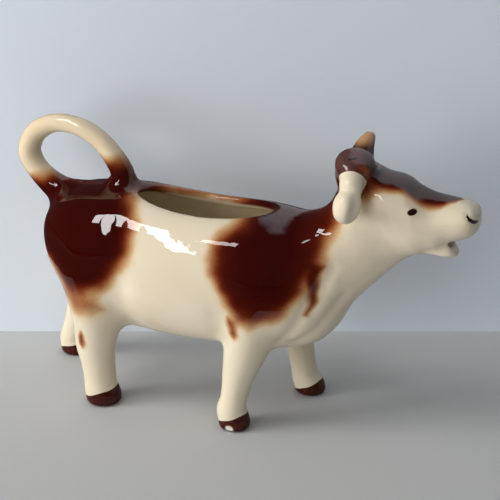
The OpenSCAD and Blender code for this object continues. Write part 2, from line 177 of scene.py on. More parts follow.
@dataclass
class Clay:
    """Space in which a form is a field of distances in mm, negative inside."""

    voxel: float = 0.7
    low: tuple[float, float, float] = (-93.0, -31.0, -4.0)
    high: tuple[float, float, float] = (93.0, 31.0, 114.0)
    band: float = 15.0
    stroke_reach: float = 2.6
    settle_rounds: int = 12
    settle_step: float = 0.8
    flattest: float = 0.05

    def __post_init__(self) -> None:
        """Lays out the grid."""
        self.start = np.floor(np.array(self.low) / self.voxel).astype(int)
        self.shape = tuple(np.ceil(np.array(self.high) / self.voxel).astype(int) - self.start + 1)
        self.axes = [(np.arange(n) + s) * self.voxel for n, s in zip(self.shape, self.start)]

    def form(self, points: Array, tris: Array) -> Array:
        """The distance field of a closed mesh.

        Args:
            points: Points in mm.
            tris: Triangles.

        Returns:
            The field.
        """
        spread = vdb.createLinearTransform(voxelSize=self.voxel)
        grid = vdb.FloatGrid.createLevelSetFromPolygons(
            points.astype(np.float32), triangles=tris.astype(np.uint32), transform=spread,
            halfWidth=self.band)
        out = np.empty(self.shape, np.float32)
        grid.copyToArray(out, ijk=tuple(int(s) for s in self.start))
        return out

    def window(self, low: Array, high: Array) -> tuple[tuple[slice, ...], list[Array]]:
        """The part of the grid between two corners.

        Args:
            low: Lowest corner in mm.
            high: Highest corner in mm.

        Returns:
            Slices into a field and the coordinates there.
        """
        cut = []
        for axis, a, b in zip(self.axes, low, high):
            i, j = np.searchsorted(axis, a), np.searchsorted(axis, b)
            cut.append(slice(max(i, 0), min(j, len(axis))))
        cut = tuple(cut)
        return cut, list(np.meshgrid(*[a[c] for a, c in zip(self.axes, cut)], indexing="ij"))

    def beads(self, rows: Array) -> Array:
        """Form swept by a ball.

        Args:
            rows: Points and radii: x, y, z, r.

        Returns:
            The field, true near the form.
        """
        reach = self.band * self.voxel
        out = np.full(self.shape, reach, np.float32)
        rad = rows[:, 3:].max()
        cut, (x, y, z) = self.window(rows[:, :3].min(0) - rad - reach, rows[:, :3].max(0) + rad + reach)
        near = np.full(x.shape, reach)
        for a, b, c, r in rows:
            near = np.minimum(near, np.sqrt((x - a) ** 2 + (y - b) ** 2 + (z - c) ** 2) - r)
        out[cut] = near
        return out

    def above(self, point: tuple[float, float, float], normal: tuple[float, float, float]) -> Array:
        """Everything on one side of a plane.

        Args:
            point: A point of the plane in mm.
            normal: The way it faces, towards the side that counts as inside.

        Returns:
            The field.
        """
        n = np.array(normal) / np.linalg.norm(normal)
        spread = np.ix_(*[range(k) for k in self.shape])
        x, y, z = (a[s].astype(np.float32) for a, s in zip(self.axes, spread))
        return n @ np.array(point) - (n[0] * x + n[1] * y + n[2] * z)

    def press(self, body: Array, line: Array, width: float, height: float) -> None:
        """Raises or sinks the surface softly along a line.

        Args:
            body: The field to change in place.
            line: Points of the line in mm.
            width: Half width of the stroke in mm.
            height: How far it raises the surface; negative sinks it.
        """
        reach = self.stroke_reach * width
        cut, (x, y, z) = self.window(line.min(0) - reach, line.max(0) + reach)
        near = np.full(x.shape, np.inf)
        p = np.stack([x, y, z], -1)
        for a, b in zip(line[:-1], line[1:]) if len(line) > 1 else [(line[0], line[0])]:
            d = b - a
            along = np.clip(((p - a) @ d) / max(d @ d, 1e-9), 0, 1)
            near = np.minimum(near, ((p - a - along[..., None] * d) ** 2).sum(-1))
        body[cut] -= (height * np.exp(-near / width ** 2)).astype(np.float32)

    def sample(self, body: Array, points: Array) -> Array:
        """Values of a field at points.

        Args:
            body: The field.
            points: Points in mm.

        Returns:
            One value per point.
        """
        q = points / self.voxel - self.start
        i = np.clip(np.floor(q).astype(int), 0, np.array(self.shape) - 2)
        f = q - i
        out = np.zeros(len(points))
        for a in (0, 1):
            for b in (0, 1):
                for c in (0, 1):
                    w = np.abs(1 - a - f[:, 0]) * np.abs(1 - b - f[:, 1]) * np.abs(1 - c - f[:, 2])
                    out += w * body[i[:, 0] + a, i[:, 1] + b, i[:, 2] + c]
        return out

    def settle(self, body: Array, points: Array, level: float) -> Array:
        """Moves points on to a level of a field.

        Args:
            body: The field.
            points: Points in mm.
            level: Distance at which they come to rest.

        Returns:
            The moved points.
        """
        p, step = points.copy(), self.voxel
        for _ in range(self.settle_rounds):
            off = self.sample(body, p) - level
            slope = np.stack([self.sample(body, p + e) - self.sample(body, p - e)
                              for e in np.eye(3) * step], -1)
            slope /= 2 * step
            steep = np.maximum((slope ** 2).sum(1), self.flattest)
            p -= self.settle_step * slope * (off / steep)[:, None]
        return p

    def surface(self, body: Array) -> tuple[Array, Array]:
        """The skin where a field is zero.

        Args:
            body: The field.

        Returns:
            Points and triangles that face outwards.
        """
        grid = vdb.FloatGrid(self.band * self.voxel)
        grid.transform = vdb.createLinearTransform(voxelSize=self.voxel)
        grid.copyFromArray(body.astype(np.float32), ijk=tuple(int(s) for s in self.start))
        points, quads = grid.convertToQuads(0.0)
        points, quads = points.astype(float), quads.astype(np.int64)
        p = points[quads]
        short = ((p[:, 0] - p[:, 2]) ** 2).sum(1) <= ((p[:, 1] - p[:, 3]) ** 2).sum(1)
        q = np.where(short[:, None], quads, np.roll(quads, -1, 1))
        tris = np.concatenate([q[:, [0, 1, 2]], q[:, [0, 2, 3]]])
        t = points[tris]
        if np.einsum("ij,ij->", np.cross(t[:, 0], t[:, 1]), t[:, 2]) < 0:
            tris = tris[:, ::-1]
        return points, tris


def sweep_tree() -> bpy.types.NodeTree:
    """Geometry Nodes that sweep a round section along a path.

    Returns:
        The tree, with inputs Sides, Thickness and Finish.
    """
    tree = bpy.data.node_groups.new("limb_sweep", "GeometryNodeTree")
    for label, kind in (("Path", "NodeSocketGeometry"), ("Sides", "NodeSocketInt"),
                        ("Thickness", "NodeSocketFloat"), ("Finish", "NodeSocketMaterial")):
        tree.interface.new_socket(label, in_out="INPUT", socket_type=kind)
    tree.interface.new_socket("Geometry", in_out="OUTPUT", socket_type="NodeSocketGeometry")
    new, link = tree.nodes.new, tree.links.new
    given, made = new("NodeGroupInput"), new("NodeGroupOutput")
    section, radius = new("GeometryNodeCurvePrimitiveCircle"), new("GeometryNodeInputRadius")
    size, swept = new("ShaderNodeMath"), new("GeometryNodeCurveToMesh")
    real, finish = new("GeometryNodeRealizeInstances"), new("GeometryNodeSetMaterial")
    size.operation = "MULTIPLY"
    section.inputs["Radius"].default_value = 1.0
    swept.inputs["Fill Caps"].default_value = True
    link(given.outputs["Sides"], section.inputs["Resolution"])
    link(radius.outputs["Radius"], size.inputs[0])
    link(given.outputs["Thickness"], size.inputs[1])
    link(given.outputs["Path"], swept.inputs["Curve"])
    link(section.outputs["Curve"], swept.inputs["Profile Curve"])
    link(size.outputs[0], swept.inputs["Scale"])
    link(swept.outputs["Mesh"], real.inputs["Geometry"])
    link(real.outputs["Geometry"], finish.inputs["Geometry"])
    link(given.outputs["Finish"], finish.inputs["Material"])
    link(finish.outputs["Geometry"], made.inputs["Geometry"])
    return tree


@dataclass
class Limb:
    """A leg or the tail: a round section swept along a path."""

    name: str
    rows: Array
    sides: int = 64
    thickness: float = 1.0

    def sweep(self, tree: bpy.types.NodeTree) -> tuple[Array, Array]:
        """Runs the sweep.

        Args:
            tree: The Geometry Nodes tree.

        Returns:
            Points in mm and triangles.
        """
        curve = bpy.data.curves.new(self.name + "_path", "CURVE")
        curve.dimensions = "3D"
        line = curve.splines.new("POLY")
        line.points.add(len(self.rows) - 1)
        line.points.foreach_set("co", np.c_[self.rows[:, :3], np.ones(len(self.rows))].ravel())
        line.points.foreach_set("radius", self.rows[:, 3].copy())
        path = bpy.data.objects.new(self.name + "_path", curve)
        bpy.context.scene.collection.objects.link(path)
        node = path.modifiers.new("sweep", "NODES")
        node.node_group = tree
        sockets = {s.name: s.identifier for s in tree.interface.items_tree if s.in_out == "INPUT"}
        node[sockets["Sides"]] = self.sides
        node[sockets["Thickness"]] = self.thickness
        graph = bpy.context.evaluated_depsgraph_get()
        mesh = bpy.data.meshes.new_from_object(path.evaluated_get(graph))
        mesh.calc_loop_triangles()
        points = np.empty(len(mesh.vertices) * 3)
        tris = np.empty(len(mesh.loop_triangles) * 3, np.int32)
        mesh.vertices.foreach_get("co", points)
        mesh.loop_triangles.foreach_get("vertices", tris)
        bpy.data.objects.remove(path)
        bpy.data.curves.remove(curve)
        bpy.data.meshes.remove(mesh)
        return points.reshape(-1, 3), tris.reshape(-1, 3)


@dataclass
class Leg:
    """One leg with its hoof: rows as x, distance out, height and radius, and the edge of the hoof's glaze."""

    name: str
    side: Side
    rows: Table
    glaze_line: tuple[float, float, float]
    fillet: float
    steps: int = 6
    past_sole: float = 3.0
    brush_waves: Table = ((0.16, 2.0, 1.0), (0.1, 5.0, 0.3))
    hoof_box: Point = (14.0, 12.0, 14.0)
    far: float = 50.0

    def path(self) -> Array:
        """Centre line, run a little past the sole so that it can be trimmed flat.

        Returns:
            Points and radii: x, y, z, r.
        """
        t = refine(self.rows, self.steps)
        t[:, 1] *= self.side.value
        foot = t[-1] + np.array([0.0, 0.0, -self.past_sole, 0.0])
        return np.vstack([t, foot])

    def above_line(self, points: Array) -> Array:
        """Height over the brushed edge of the hoof's glaze.

        Args:
            points: Points in mm.

        Returns:
            One height per point in mm, large away from this leg.
        """
        x, z, slope = self.glaze_line
        y = self.side.value * self.rows[-1][1]
        lean = math.hypot(1.0, slope)
        turn = np.arctan2(points[:, 1] - y, points[:, 0] - x)
        brush = sum(swing * np.sin(count * turn + phase * x) for swing, count, phase in self.brush_waves)
        up = (points[:, 2] - z - slope * (points[:, 0] - x)) / lean + brush
        here = (np.abs(points - np.array([x, y, 0.0])) < self.hoof_box).all(1)
        return np.where(here, up, self.far)


LEGS = (
    Leg("hind_right", Side.RIGHT, (
        (-51.0, 11.5, 50.0, 10.0), (-50.3, 13.3, 42.0, 10.4), (-50.0, 14.8, 35.0, 9.8),
        (-50.3, 15.8, 28.5, 8.4), (-50.4, 16.6, 22.0, 7.3), (-49.6, 17.2, 15.5, 6.5),
        (-49.0, 17.5, 10.0, 6.2), (-48.7, 17.7, 6.4, 6.4), (-47.9, 17.7, 3.4, 6.75),
        (-47.4, 17.7, 1.4, 6.7), (-47.3, 17.7, 0.0, 5.9)), (-48.4, 5.0, 0.36), 6.0),
    Leg("hind_left", Side.LEFT, (
        (-61.2, 10.9, 51.5, 9.3), (-64.4, 12.3, 43.7, 9.2), (-68.6, 13.8, 35.5, 8.2),
        (-72.0, 15.3, 27.5, 7.2), (-74.6, 16.4, 20.5, 6.4), (-77.2, 17.2, 13.5, 5.8),
        (-79.0, 17.5, 9.0, 5.7), (-79.6, 17.7, 6.0, 6.0), (-78.9, 17.7, 3.4, 6.4),
        (-78.3, 17.7, 1.4, 6.4), (-78.2, 17.7, 0.0, 5.6)), (-79.2, 4.4, 0.3), 6.0),
    Leg("fore_right", Side.RIGHT, (
        (12.2, 12.5, 48.0, 9.4), (12.0, 14.6, 40.0, 9.6), (10.8, 16.6, 32.0, 8.4),
        (8.7, 18.2, 22.7, 6.3), (7.5, 18.8, 16.0, 5.25), (6.7, 18.9, 11.0, 5.1), (6.0, 18.9, 7.5, 5.65),
        (6.4, 18.9, 4.6, 5.7), (6.9, 18.9, 2.8, 5.85), (7.0, 18.9, 1.3, 5.8),
        (7.0, 18.9, 0.0, 5.0)), (6.4, 5.0, 0.3), 4.5),
    Leg("fore_left", Side.LEFT, (
        (18.3, 12.6, 46.0, 8.0), (18.8, 14.4, 37.0, 7.6), (19.4, 16.2, 28.0, 6.5),
        (20.0, 17.2, 21.0, 5.6), (21.0, 17.8, 14.0, 5.1), (21.8, 17.9, 9.5, 5.1),
        (22.6, 17.9, 6.4, 5.5), (23.6, 17.9, 4.2, 5.8), (24.2, 17.9, 2.6, 5.95), (24.5, 17.9, 1.2, 5.9),
        (24.5, 17.9, 0.0, 5.1)), (23.4, 3.8, 0.4), 4.5),
)


@dataclass
class Tail:
    """The handle: the tail curled from the rump over the top to the back, rows as x, height and radius."""

    rows: Table = (
        (-67.5, 75.0, 6.4), (-74.6, 79.2, 5.0), (-80.6, 84.3, 4.25), (-84.2, 91.0, 4.35),
        (-81.9, 98.0, 4.1), (-76.0, 102.4, 3.65), (-69.0, 103.9, 3.4), (-60.6, 102.5, 3.45),
        (-53.1, 98.2, 3.65), (-47.8, 92.2, 4.0), (-44.8, 86.6, 4.5), (-45.2, 82.2, 5.6),
        (-46.0, 78.0, 7.0))
    steps: int = 8
    fillet: float = 5.0

    def path(self) -> Array:
        """Centre line and radii in the middle plane."""
        t = refine(self.rows, self.steps)
        return np.stack([t[:, 0], np.zeros(len(t)), t[:, 1], t[:, 2]], 1)


@dataclass
class Horn:
    """One horn: rows from root to tip as x, distance out, height and radius."""

    side: Side
    rows: Table
    fillet: float
    worn_top: tuple[Point, Point] | None = None
    worn_edge: float = 3.4
    steps: int = 12

    def form(self, clay: Clay) -> Array:
        """The horn's field, rubbed down where it is worn."""
        body = clay.beads(refine(self.rows, self.steps) * (1.0, self.side.value, 1.0, 1.0))
        return carve(body, clay.above(*self.worn_top), self.worn_edge) if self.worn_top else body


@dataclass
class Ear:
    """One drooping ear: rows from root to tip as x, distance out, height and radius."""

    side: Side
    shift: tuple[float, float, float, float] = (0.0, 0.0, 0.0, 0.0)
    rows: Table = (
        (45.6, 7.0, 97.4, 3.0), (46.5, 10.4, 97.8, 3.9), (47.2, 13.0, 96.5, 4.0),
        (46.9, 15.2, 93.9, 3.1), (47.0, 16.9, 90.9, 4.6), (47.0, 17.8, 88.9, 4.4))
    steps: int = 10
    fillet: float = 1.4

    def form(self, clay: Clay) -> Array:
        """The ear's field."""
        return clay.beads(refine(self.rows, self.steps) * (1.0, self.side.value, 1.0, 1.0) + self.shift)


HORNS = (
    Horn(Side.RIGHT, ((45.2, 4.6, 98.6, 6.0), (45.6, 5.1, 99.5, 6.2), (46.0, 5.8, 100.9, 6.5),
                      (46.4, 6.5, 102.4, 6.7)), 4.5, WORN_TOP),
    Horn(Side.LEFT, ((44.6, 5.6, 98.8, 4.9), (45.0, 7.2, 101.4, 4.2), (45.5, 9.0, 104.2, 3.35),
                     (46.4, 10.9, 106.8, 2.3)), 2.5),
)
EARS = (Ear(Side.RIGHT), Ear(Side.LEFT, (-2.0, 0.0, -3.0, 0.0)))


@dataclass
class Lip:
    """Lower half of the spout: rows from root to tip as x, height, half width and half thickness."""

    rows: Table = (
        (71.5, 74.1, 4.2, 2.1), (75.5, 74.1, 4.8, 2.6), (79.0, 74.1, 4.6, 2.8), (80.8, 73.2, 3.8, 1.8),
        (82.0, 72.4, 2.4, 0.9), (82.5, 72.2, 1.1, 0.4))
    steps: int = 6
    sides: int = 64
    roundness: float = 3.4
    fillet: float = 1.6

    def rings(self) -> Array:
        """Sections of the lip."""
        c, s = (bend(wave, self.roundness) for wave in circle(self.sides))
        return np.array([np.stack([np.full(self.sides, x), w * c, z + t * s], -1)
                         for x, z, w, t in refine(self.rows, self.steps)])


@dataclass
class Hollow:
    """The space inside: cavity, filler opening in the back and pouring channel in the mouth."""

    wall: float = 3.5
    filler_x: float = -11.3
    filler_l: float = 50.5
    filler_w: float = 22.5
    roll: float = 2.0
    roll_from: float = 74.5
    roll_to: float = 83.5
    filler_low: float = 64.8
    filler_high: float = 94.0
    oval: float = 2.15
    mouth_from: float = 64.0
    mouth_to: float = 93.0
    mouth_z: float = 77.0
    mouth_w: float = 6.6
    mouth_h: float = 5.6
    steps: int = 3
    filler_sides: int = 120
    roll_rings: int = 16
    mouth_sides: int = 48
    mouth_count: int = 9
    throat_fillet: float = 3.0
    rim_edge: float = 3.4
    mouth_edge: float = 1.4

    def cavity_rows(self) -> Array:
        """Sets the body and head tables in by the wall.

        Returns:
            Rows of the cavity, as in the TRUNK table.
        """
        t = np.array(tuple(TRUNK)[1:] + tuple(HEAD)[:HOLLOW_HEAD_ROWS])
        shares = np.tile([1.0, 0.0], (len(t), 1))
        shares[:len(RUMP_WALL)] = RUMP_WALL
        inset, push = self.wall * shares[:, :1], self.wall * shares[:, 1:]
        down = t[:, 2:4] - t[:, 0:2]
        down /= np.linalg.norm(down, axis=1, keepdims=True)
        forward = push * np.array([1.0, 0.0])
        t[:, 0:2] += down * inset + forward
        t[:, 2:4] += -down * inset + forward
        t[:, 4:5] -= inset
        return refine(t, self.steps)

    def filler_rings(self) -> Array:
        """Shapes the filler opening from inside the body up past its rolled rim.

        Returns:
            Points as (ring, point, xyz).
        """
        c, s = (bend(wave, self.oval) for wave in circle(self.filler_sides))
        climb = self.roll_to - self.roll_from
        stack = [(self.filler_low, 0.0)]
        stack += [(self.roll_from + k * climb, self.roll * (1 - math.sqrt(1 - k * k)))
                  for k in np.linspace(0, 1, self.roll_rings)]
        stack += [(self.filler_high, self.roll)]
        return np.array([np.stack([self.filler_x + (self.filler_l / 2 + r) * c, (self.filler_w / 2 + r) * s,
                                   np.full(self.filler_sides, z)], -1) for z, r in stack])

    def mouth_rings(self) -> Array:
        """Shapes the pouring channel.

        Returns:
            Points as (ring, point, xyz).
        """
        c, s = circle(self.mouth_sides)
        return np.array([np.stack([np.full(self.mouth_sides, x), self.mouth_w / 2 * c,
                                   self.mouth_z + self.mouth_h / 2 * s], -1)
                         for x in np.linspace(self.mouth_from, self.mouth_to, self.mouth_count)])


def shell_rings(rows: Array, count: int) -> Array:
    """Sections of the body and head.

    Args:
        rows: Rows as in the TRUNK table.
        count: Points round a section.

    Returns:
        Points as (ring, point, xyz).
    """
    c, s = circle(count)
    rings = []
    for x_top, z_top, x_low, z_low, half, widest, above, below in rows:
        e = np.where(s > 0, above, below)
        f = widest + np.where(s > 0, 1 - widest, widest) * bend(s, e)
        rings.append(np.stack([x_low + f * (x_top - x_low), half * bend(c, e),
                               z_low + f * (z_top - z_low)], -1))
    return np.array(rings)


@dataclass(frozen=True)
class Stroke:
    """A soft ridge (height above 0) or groove (below 0) modelled along a line on one or both sides."""

    line: Table
    width: float
    height: float
    sides: tuple[Side, ...] = (Side.RIGHT, Side.LEFT)


EYE: Point = (67.9, 10.6, 88.8)
NOSTRIL: Table = (
    (85.5, 6.6, 89.4), (85.9, 7.2, 88.4), (86.6, 7.3, 87.4), (87.5, 6.6, 86.6), (88.3, 5.2, 86.1),
    (88.9, 3.4, 85.9))
STROKES = (
    # Swell of haunch, shoulder and ribs
    Stroke(((-54.0, 25.0, 52.0), (-53.0, 25.0, 44.0)), 11.0, 1.2),
    Stroke(((14.0, 24.0, 52.0), (13.0, 24.0, 42.0)), 9.0, 0.8),
    Stroke(((-16.0, 26.0, 50.0), (-16.0, 25.5, 64.0)), 14.0, 0.5),
    # Hollow in front of the haunch, and behind the shoulder and the fore leg
    Stroke(((-34.4, 18.5, 34.5), (-35.1, 22.5, 41.1), (-35.8, 24.6, 46.7), (-35.7, 25.4, 51.0)), 5.5, -1.2),
    Stroke(((-36.0, 25.5, 56.0), (-37.0, 24.5, 66.0), (-38.0, 20.5, 73.5)), 6.0, -0.6),
    Stroke(((3.0, 25.9, 50.0), (1.5, 25.6, 58.0), (2.0, 24.5, 66.0), (3.0, 20.5, 73.0)), 6.0, -0.1),
    Stroke(((3.0, 25.5, 46.0), (3.5, 23.5, 37.0)), 4.5, -0.6),
    # Folds of neck and chest
    Stroke(((38.9, 16.5, 61.7), (37.1, 17.5, 58.0), (35.3, 18.5, 55.1), (33.1, 19.4, 50.6),
            (30.6, 19.6, 45.7), (27.0, 18.5, 40.0), (24.0, 17.4, 37.1)), 2.4, -0.75),
    Stroke(((45.3, 10.9, 55.1), (42.7, 11.8, 51.3), (39.6, 13.2, 46.8), (36.3, 14.0, 41.9),
            (31.9, 15.1, 38.5), (27.7, 14.9, 35.8)), 2.4, -0.65),
    Stroke(((41.8, 14.7, 65.9), (40.1, 15.8, 60.1), (38.3, 16.6, 54.8), (35.8, 17.5, 49.5)), 2.0, -0.45),
    # Hock
    Stroke(((-58.3, 17.0, 24.5), (-57.8, 17.0, 22.0)), 3.6, 0.8, (Side.RIGHT,)),
    # Cheek, cheekbone, hollow beside the nose, swell of the eye, nostril
    Stroke(((60.5, 11.2, 88.0),), 5.0, 0.7),
    Stroke(((58.2, 10.2, 91.4), (60.2, 10.6, 90.6)), 2.3, 0.55),
    Stroke(((71.6, 7.7, 89.3), (74.6, 7.2, 88.7)), 3.8, -0.25),
    Stroke((EYE,), 1.8, 0.25),
    Stroke(NOSTRIL, 0.9, -0.4),
    # Fold at the front of the right ear, hollow of both ears
    Stroke(((50.0, 15.8, 94.2), (50.4, 17.0, 92.2)), 2.2, 1.3, (Side.RIGHT,)),
    Stroke(((51.2, 18.6, 93.4), (51.2, 19.8, 90.6), (50.4, 20.0, 87.4)), 1.9, -2.0, (Side.RIGHT,)),
    Stroke(((48.6, 18.2, 90.2), (49.0, 19.4, 87.4), (48.4, 19.6, 84.4)), 2.2, -0.9, (Side.LEFT,)),
)


@dataclass
class Skin:
    """A triangle skin whose triangles are tagged with the piece that they belong to."""

    points: Array
    tris: Array
    normals: Array = field(default_factory=lambda: np.zeros((0, 3)))
    tags: Array = field(default_factory=lambda: np.zeros(0, int))
    slack: float = 0.02
    ripple_steps: tuple[float, float] = (0.5, -0.52)

    def edges(self) -> Array:
        """Finds each edge once.

        Returns:
            Pairs of points, by number.
        """
        e = np.sort(self.tris[:, [0, 1, 1, 2, 2, 0]].reshape(-1, 2), 1)
        key = np.unique(e[:, 0] * len(self.points) + e[:, 1])
        return np.stack([key // len(self.points), key % len(self.points)], 1)

    def relax(self, rounds: int) -> None:
        """Evens out ripples without shrinking the form.

        Args:
            rounds: How many times to smooth forth and back.
        """
        e, n = self.edges(), len(self.points)
        ends, other = np.r_[e[:, 0], e[:, 1]], np.r_[e[:, 1], e[:, 0]]
        count = np.bincount(ends, minlength=n)
        for step in self.ripple_steps * rounds:
            total = np.stack([np.bincount(ends, self.points[other, k], n) for k in range(3)], 1)
            self.points += step * (total / count[:, None] - self.points)

    def shade(self) -> None:
        """Works out smooth normals and tags everything as piece 0."""
        t = self.points[self.tris]
        face = np.cross(t[:, 1] - t[:, 0], t[:, 2] - t[:, 0])
        n = np.zeros_like(self.points)
        for k in range(3):
            for axis in range(3):
                n[:, axis] += np.bincount(self.tris[:, k], face[:, axis], len(self.points))
        self.normals = n / np.maximum(np.linalg.norm(n, axis=1, keepdims=True), 1e-12)
        self.tags = np.zeros(len(self.tris), int)

    def cut(self, height: Array) -> Array:
        """Splits triangles along the line where a height is zero.

        Args:
            height: One number per point.

        Returns:
            The heights, with zeros for the new points.
        """
        height = np.where(np.abs(height) < self.slack, self.slack, height)
        below = height[self.tris] < 0
        count = below.sum(1)
        mixed = (count == 1) | (count == 2)
        if not mixed.any():
            return height
        tris, lone = self.tris[mixed], below[mixed]
        odd = np.where(count[mixed][:, None] == 1, lone, ~lone)
        turn = odd.argmax(1)
        tris = tris[np.arange(len(tris))[:, None], (turn[:, None] + np.arange(3)) % 3]
        pairs = np.concatenate([tris[:, [0, 1]], tris[:, [0, 2]]])
        ordered = np.sort(pairs, 1)
        key, back = np.unique(ordered[:, 0] * len(self.points) + ordered[:, 1], return_inverse=True)
        a, b = key // len(self.points), key % len(self.points)
        f = (height[a] / (height[a] - height[b]))[:, None]
        base = len(self.points)
        normal = self.normals[a] * (1 - f) + self.normals[b] * f
        self.points = np.vstack([self.points, self.points[a] * (1 - f) + self.points[b] * f])
        self.normals = np.vstack([self.normals, normal / np.linalg.norm(normal, axis=1, keepdims=True)])
        ab, ac = base + back[:len(tris)], base + back[len(tris):]
        fresh = np.concatenate([np.stack([tris[:, 0], ab, ac], 1), np.stack([ab, tris[:, 1], tris[:, 2]], 1),
                                np.stack([ab, tris[:, 2], ac], 1)])
        self.tags = np.concatenate([self.tags[~mixed], np.tile(self.tags[mixed], 3)])
        self.tris = np.concatenate([self.tris[~mixed], fresh])
        return np.concatenate([height, np.zeros(len(key))])

    def islands(self, tris: Array) -> Array:
        """Numbers the connected parts of a set of triangles.

        Args:
            tris: The triangles.

        Returns:
            One number per triangle.
        """
        parent = np.arange(len(self.points))
        while True:
            low = parent[tris].min(1)
            before = parent.copy()
            for k in range(3):
                np.minimum.at(parent, tris[:, k], low)
            while (parent != parent[parent]).any():
                parent = parent[parent]
            if (parent == before).all():
                return parent[tris[:, 0]]

    def part(self, height: Array, source: int, tag: int) -> None:
        """Gives the largest connected area of one piece that lies below zero to another piece.

        Args:
            height: One number per point.
            source: Tag to take from.
            tag: Tag to give.
        """
        height = self.cut(height)
        picked = np.flatnonzero((self.tags == source) & (height[self.tris].sum(1) < 0))
        island = self.islands(self.tris[picked])
        names, sizes = np.unique(island, return_counts=True)
        self.tags[picked[island == names[sizes.argmax()]]] = tag


def rims(tris: Array) -> list[Array]:
    """Open loops of a set of triangles.

    Args:
        tris: Triangles.

    Returns:
        Lists of points in the order of the triangles' own edges.
    """
    edges = {(int(a), int(b)) for t in tris for a, b in ((t[0], t[1]), (t[1], t[2]), (t[2], t[0]))}
    follow = {a: b for a, b in edges if (b, a) not in edges}
    loops = []
    while follow:
        a, b = follow.popitem()
        loop = [a]
        while b != a:
            loop.append(b)
            b = follow.pop(b)
        loops.append(np.array(loop))
    return sorted(loops, key=len, reverse=True)


class Coat(Enum):
    """Attributes that carry hand-laid colour, painted light and painted sheen on the skin, from 0 to 1."""

    BRUSH = "brush"
    # tan paint on the left horn's tip, and painted sheen on the worn right horn
    TAN = "tan"
    BARE = "bare"
    # painted light: the inside is coloured lighter and yellower than the outside cream
    INNER = "inner"


def smooth(value: Array) -> Array:
    """Eases a number from 0 to 1."""
    v = np.clip(value, 0.0, 1.0)
    return v * v * (3 - 2 * v)


def rise(value: Array, start: float, run: float) -> Array:
    """Eases a number from 0 at the start to 1 where the run ends."""
    return smooth((value - start) / run)


# Unevenness of the hand: axis that it shifts, shift in mm, waves along x, y and height, phase
WANDER: tuple[tuple[int, float, Point, float], ...] = (
    (0, 0.5, (0.13, 0.2, 0.41), 0.0), (0, 0.25, (-0.37, 0.0, 0.93), 0.0),
    (2, 0.5, (0.37, 0.0, 0.19), 1.3), (2, 0.25, (0.83, 0.0, -0.29), 0.7))


def wander(points: Array) -> Array:
    """Shifts points by a slow, fixed unevenness of the hand.

    Args:
        points: Points in mm.

    Returns:
        The shifted points.
    """
    out = points.copy()
    for axis, swing, waves, phase in WANDER:
        out[:, axis] += swing * np.sin(points @ np.array(waves) + phase)
    return out


@dataclass(frozen=True)
class Patch:
    """A sprayed patch: outline in the side view as x and height, half width of its soft edge, strength."""

    side: Side
    outline: Table
    soft: float = 3.0
    strength: float = 1.0
    wrap: float = 8.0

    def density(self, points: Array) -> Array:
        """How thick the spray lies at points.

        Args:
            points: Points in mm.

        Returns:
            Numbers from 0 to 1.
        """
        p, c = points[:, [0, 2]], np.asarray(self.outline, float)
        best, flips = np.full(len(p), np.inf), np.zeros(len(p), int)
        for a, b in zip(c, np.roll(c, -1, 0)):
            d = b - a
            along = np.clip(((p - a) @ d) / (d @ d), 0, 1)
            best = np.minimum(best, np.linalg.norm(p - a - along[:, None] * d, axis=1))
            span = (a[1] > p[:, 1]) != (b[1] > p[:, 1])
            climb = b[1] - a[1] if b[1] != a[1] else 1e-9
            flips += span & (p[:, 0] < d[0] * (p[:, 1] - a[1]) / climb + a[0])
        away = np.where(flips % 2 == 1, -best, best)
        own = smooth(0.5 + points[:, 1] * self.side.value / self.wrap)
        return self.strength * own * smooth((self.soft - away) / (2 * self.soft))


@dataclass(frozen=True)
class Blaze:
    """The brown band along the forehead and the nose: half widths along x, over a height."""

    rows: Table = ((46.0, 9.6), (54.0, 9.0), (60.8, 8.4), (68.8, 7.0), (76.9, 5.2), (80.4, 2.6), (83.4, -2.4))
    low: float = 84.0
    soft: float = 2.2
    fade: float = 4.0

    def density(self, points: Array) -> Array:
        """How thick the spray lies at points.

        Args:
            points: Points in mm.

        Returns:
            Numbers from 0 to 1.
        """
        x, w = np.array(self.rows).T
        away = np.abs(points[:, 1]) - np.interp(points[:, 0], x, w)
        on = rise(points[:, 0], x[0], self.fade) * rise(points[:, 2], self.low, self.fade)
        return on * smooth((self.soft - away) / (2 * self.soft))


RUMP: Table = (
    (-95, 80.5), (-84, 81), (-77, 83), (-70, 86), (-56, 90.5), (-46, 92.5), (-39, 93), (-37.5, 83),
    (-35.5, 80), (-34, 77.5), (-32, 74.5), (-31.4, 70), (-33.4, 64), (-35.6, 59), (-38.6, 55.4),
    (-42.2, 52), (-46, 49.4), (-50, 47.6), (-54, 47.2), (-58, 49), (-62, 52), (-68, 56), (-78, 59),
    (-95, 60))
SHOULDER: Table = (
    (15.5, 84), (15.3, 80.3), (13.3, 79.2), (10.4, 78), (8, 77), (5, 75.6), (2.2, 74), (0.2, 71.5),
    (0, 67.5), (2.6, 61), (5.8, 54.2), (8.6, 49.6), (11.4, 46.4), (15.6, 45), (21.5, 46.6),
    (26.4, 50.2), (30.4, 55), (33.4, 60), (36, 65), (38, 70), (39.5, 75), (40.8, 79.4), (42, 84),
    (44, 89), (48, 92.4), (51, 93), (53.5, 96), (52, 106), (44, 114), (30, 114), (28, 90))
FAR_SHOULDER: Table = (
    (4, 84), (3, 79), (-2, 76), (-5, 71), (-4, 64), (-1, 57), (4, 51), (10, 47.5), (17, 46.5), (23, 49),
    (28, 54), (32, 61), (35, 67), (38, 72), (40, 78), (42, 84), (44, 89), (48, 91), (52.5, 91.5),
    (54, 95), (52, 106), (44, 114), (30, 114), (28, 90))
# Thin spray below the rump, near and far side
RUMP_MIST: Table = ((-62, 47), (-44, 46), (-43, 41), (-48, 38.5), (-56, 39))
FAR_RUMP_MIST: Table = ((-68, 50), (-52, 46), (-54, 38), (-64, 38), (-72, 44))
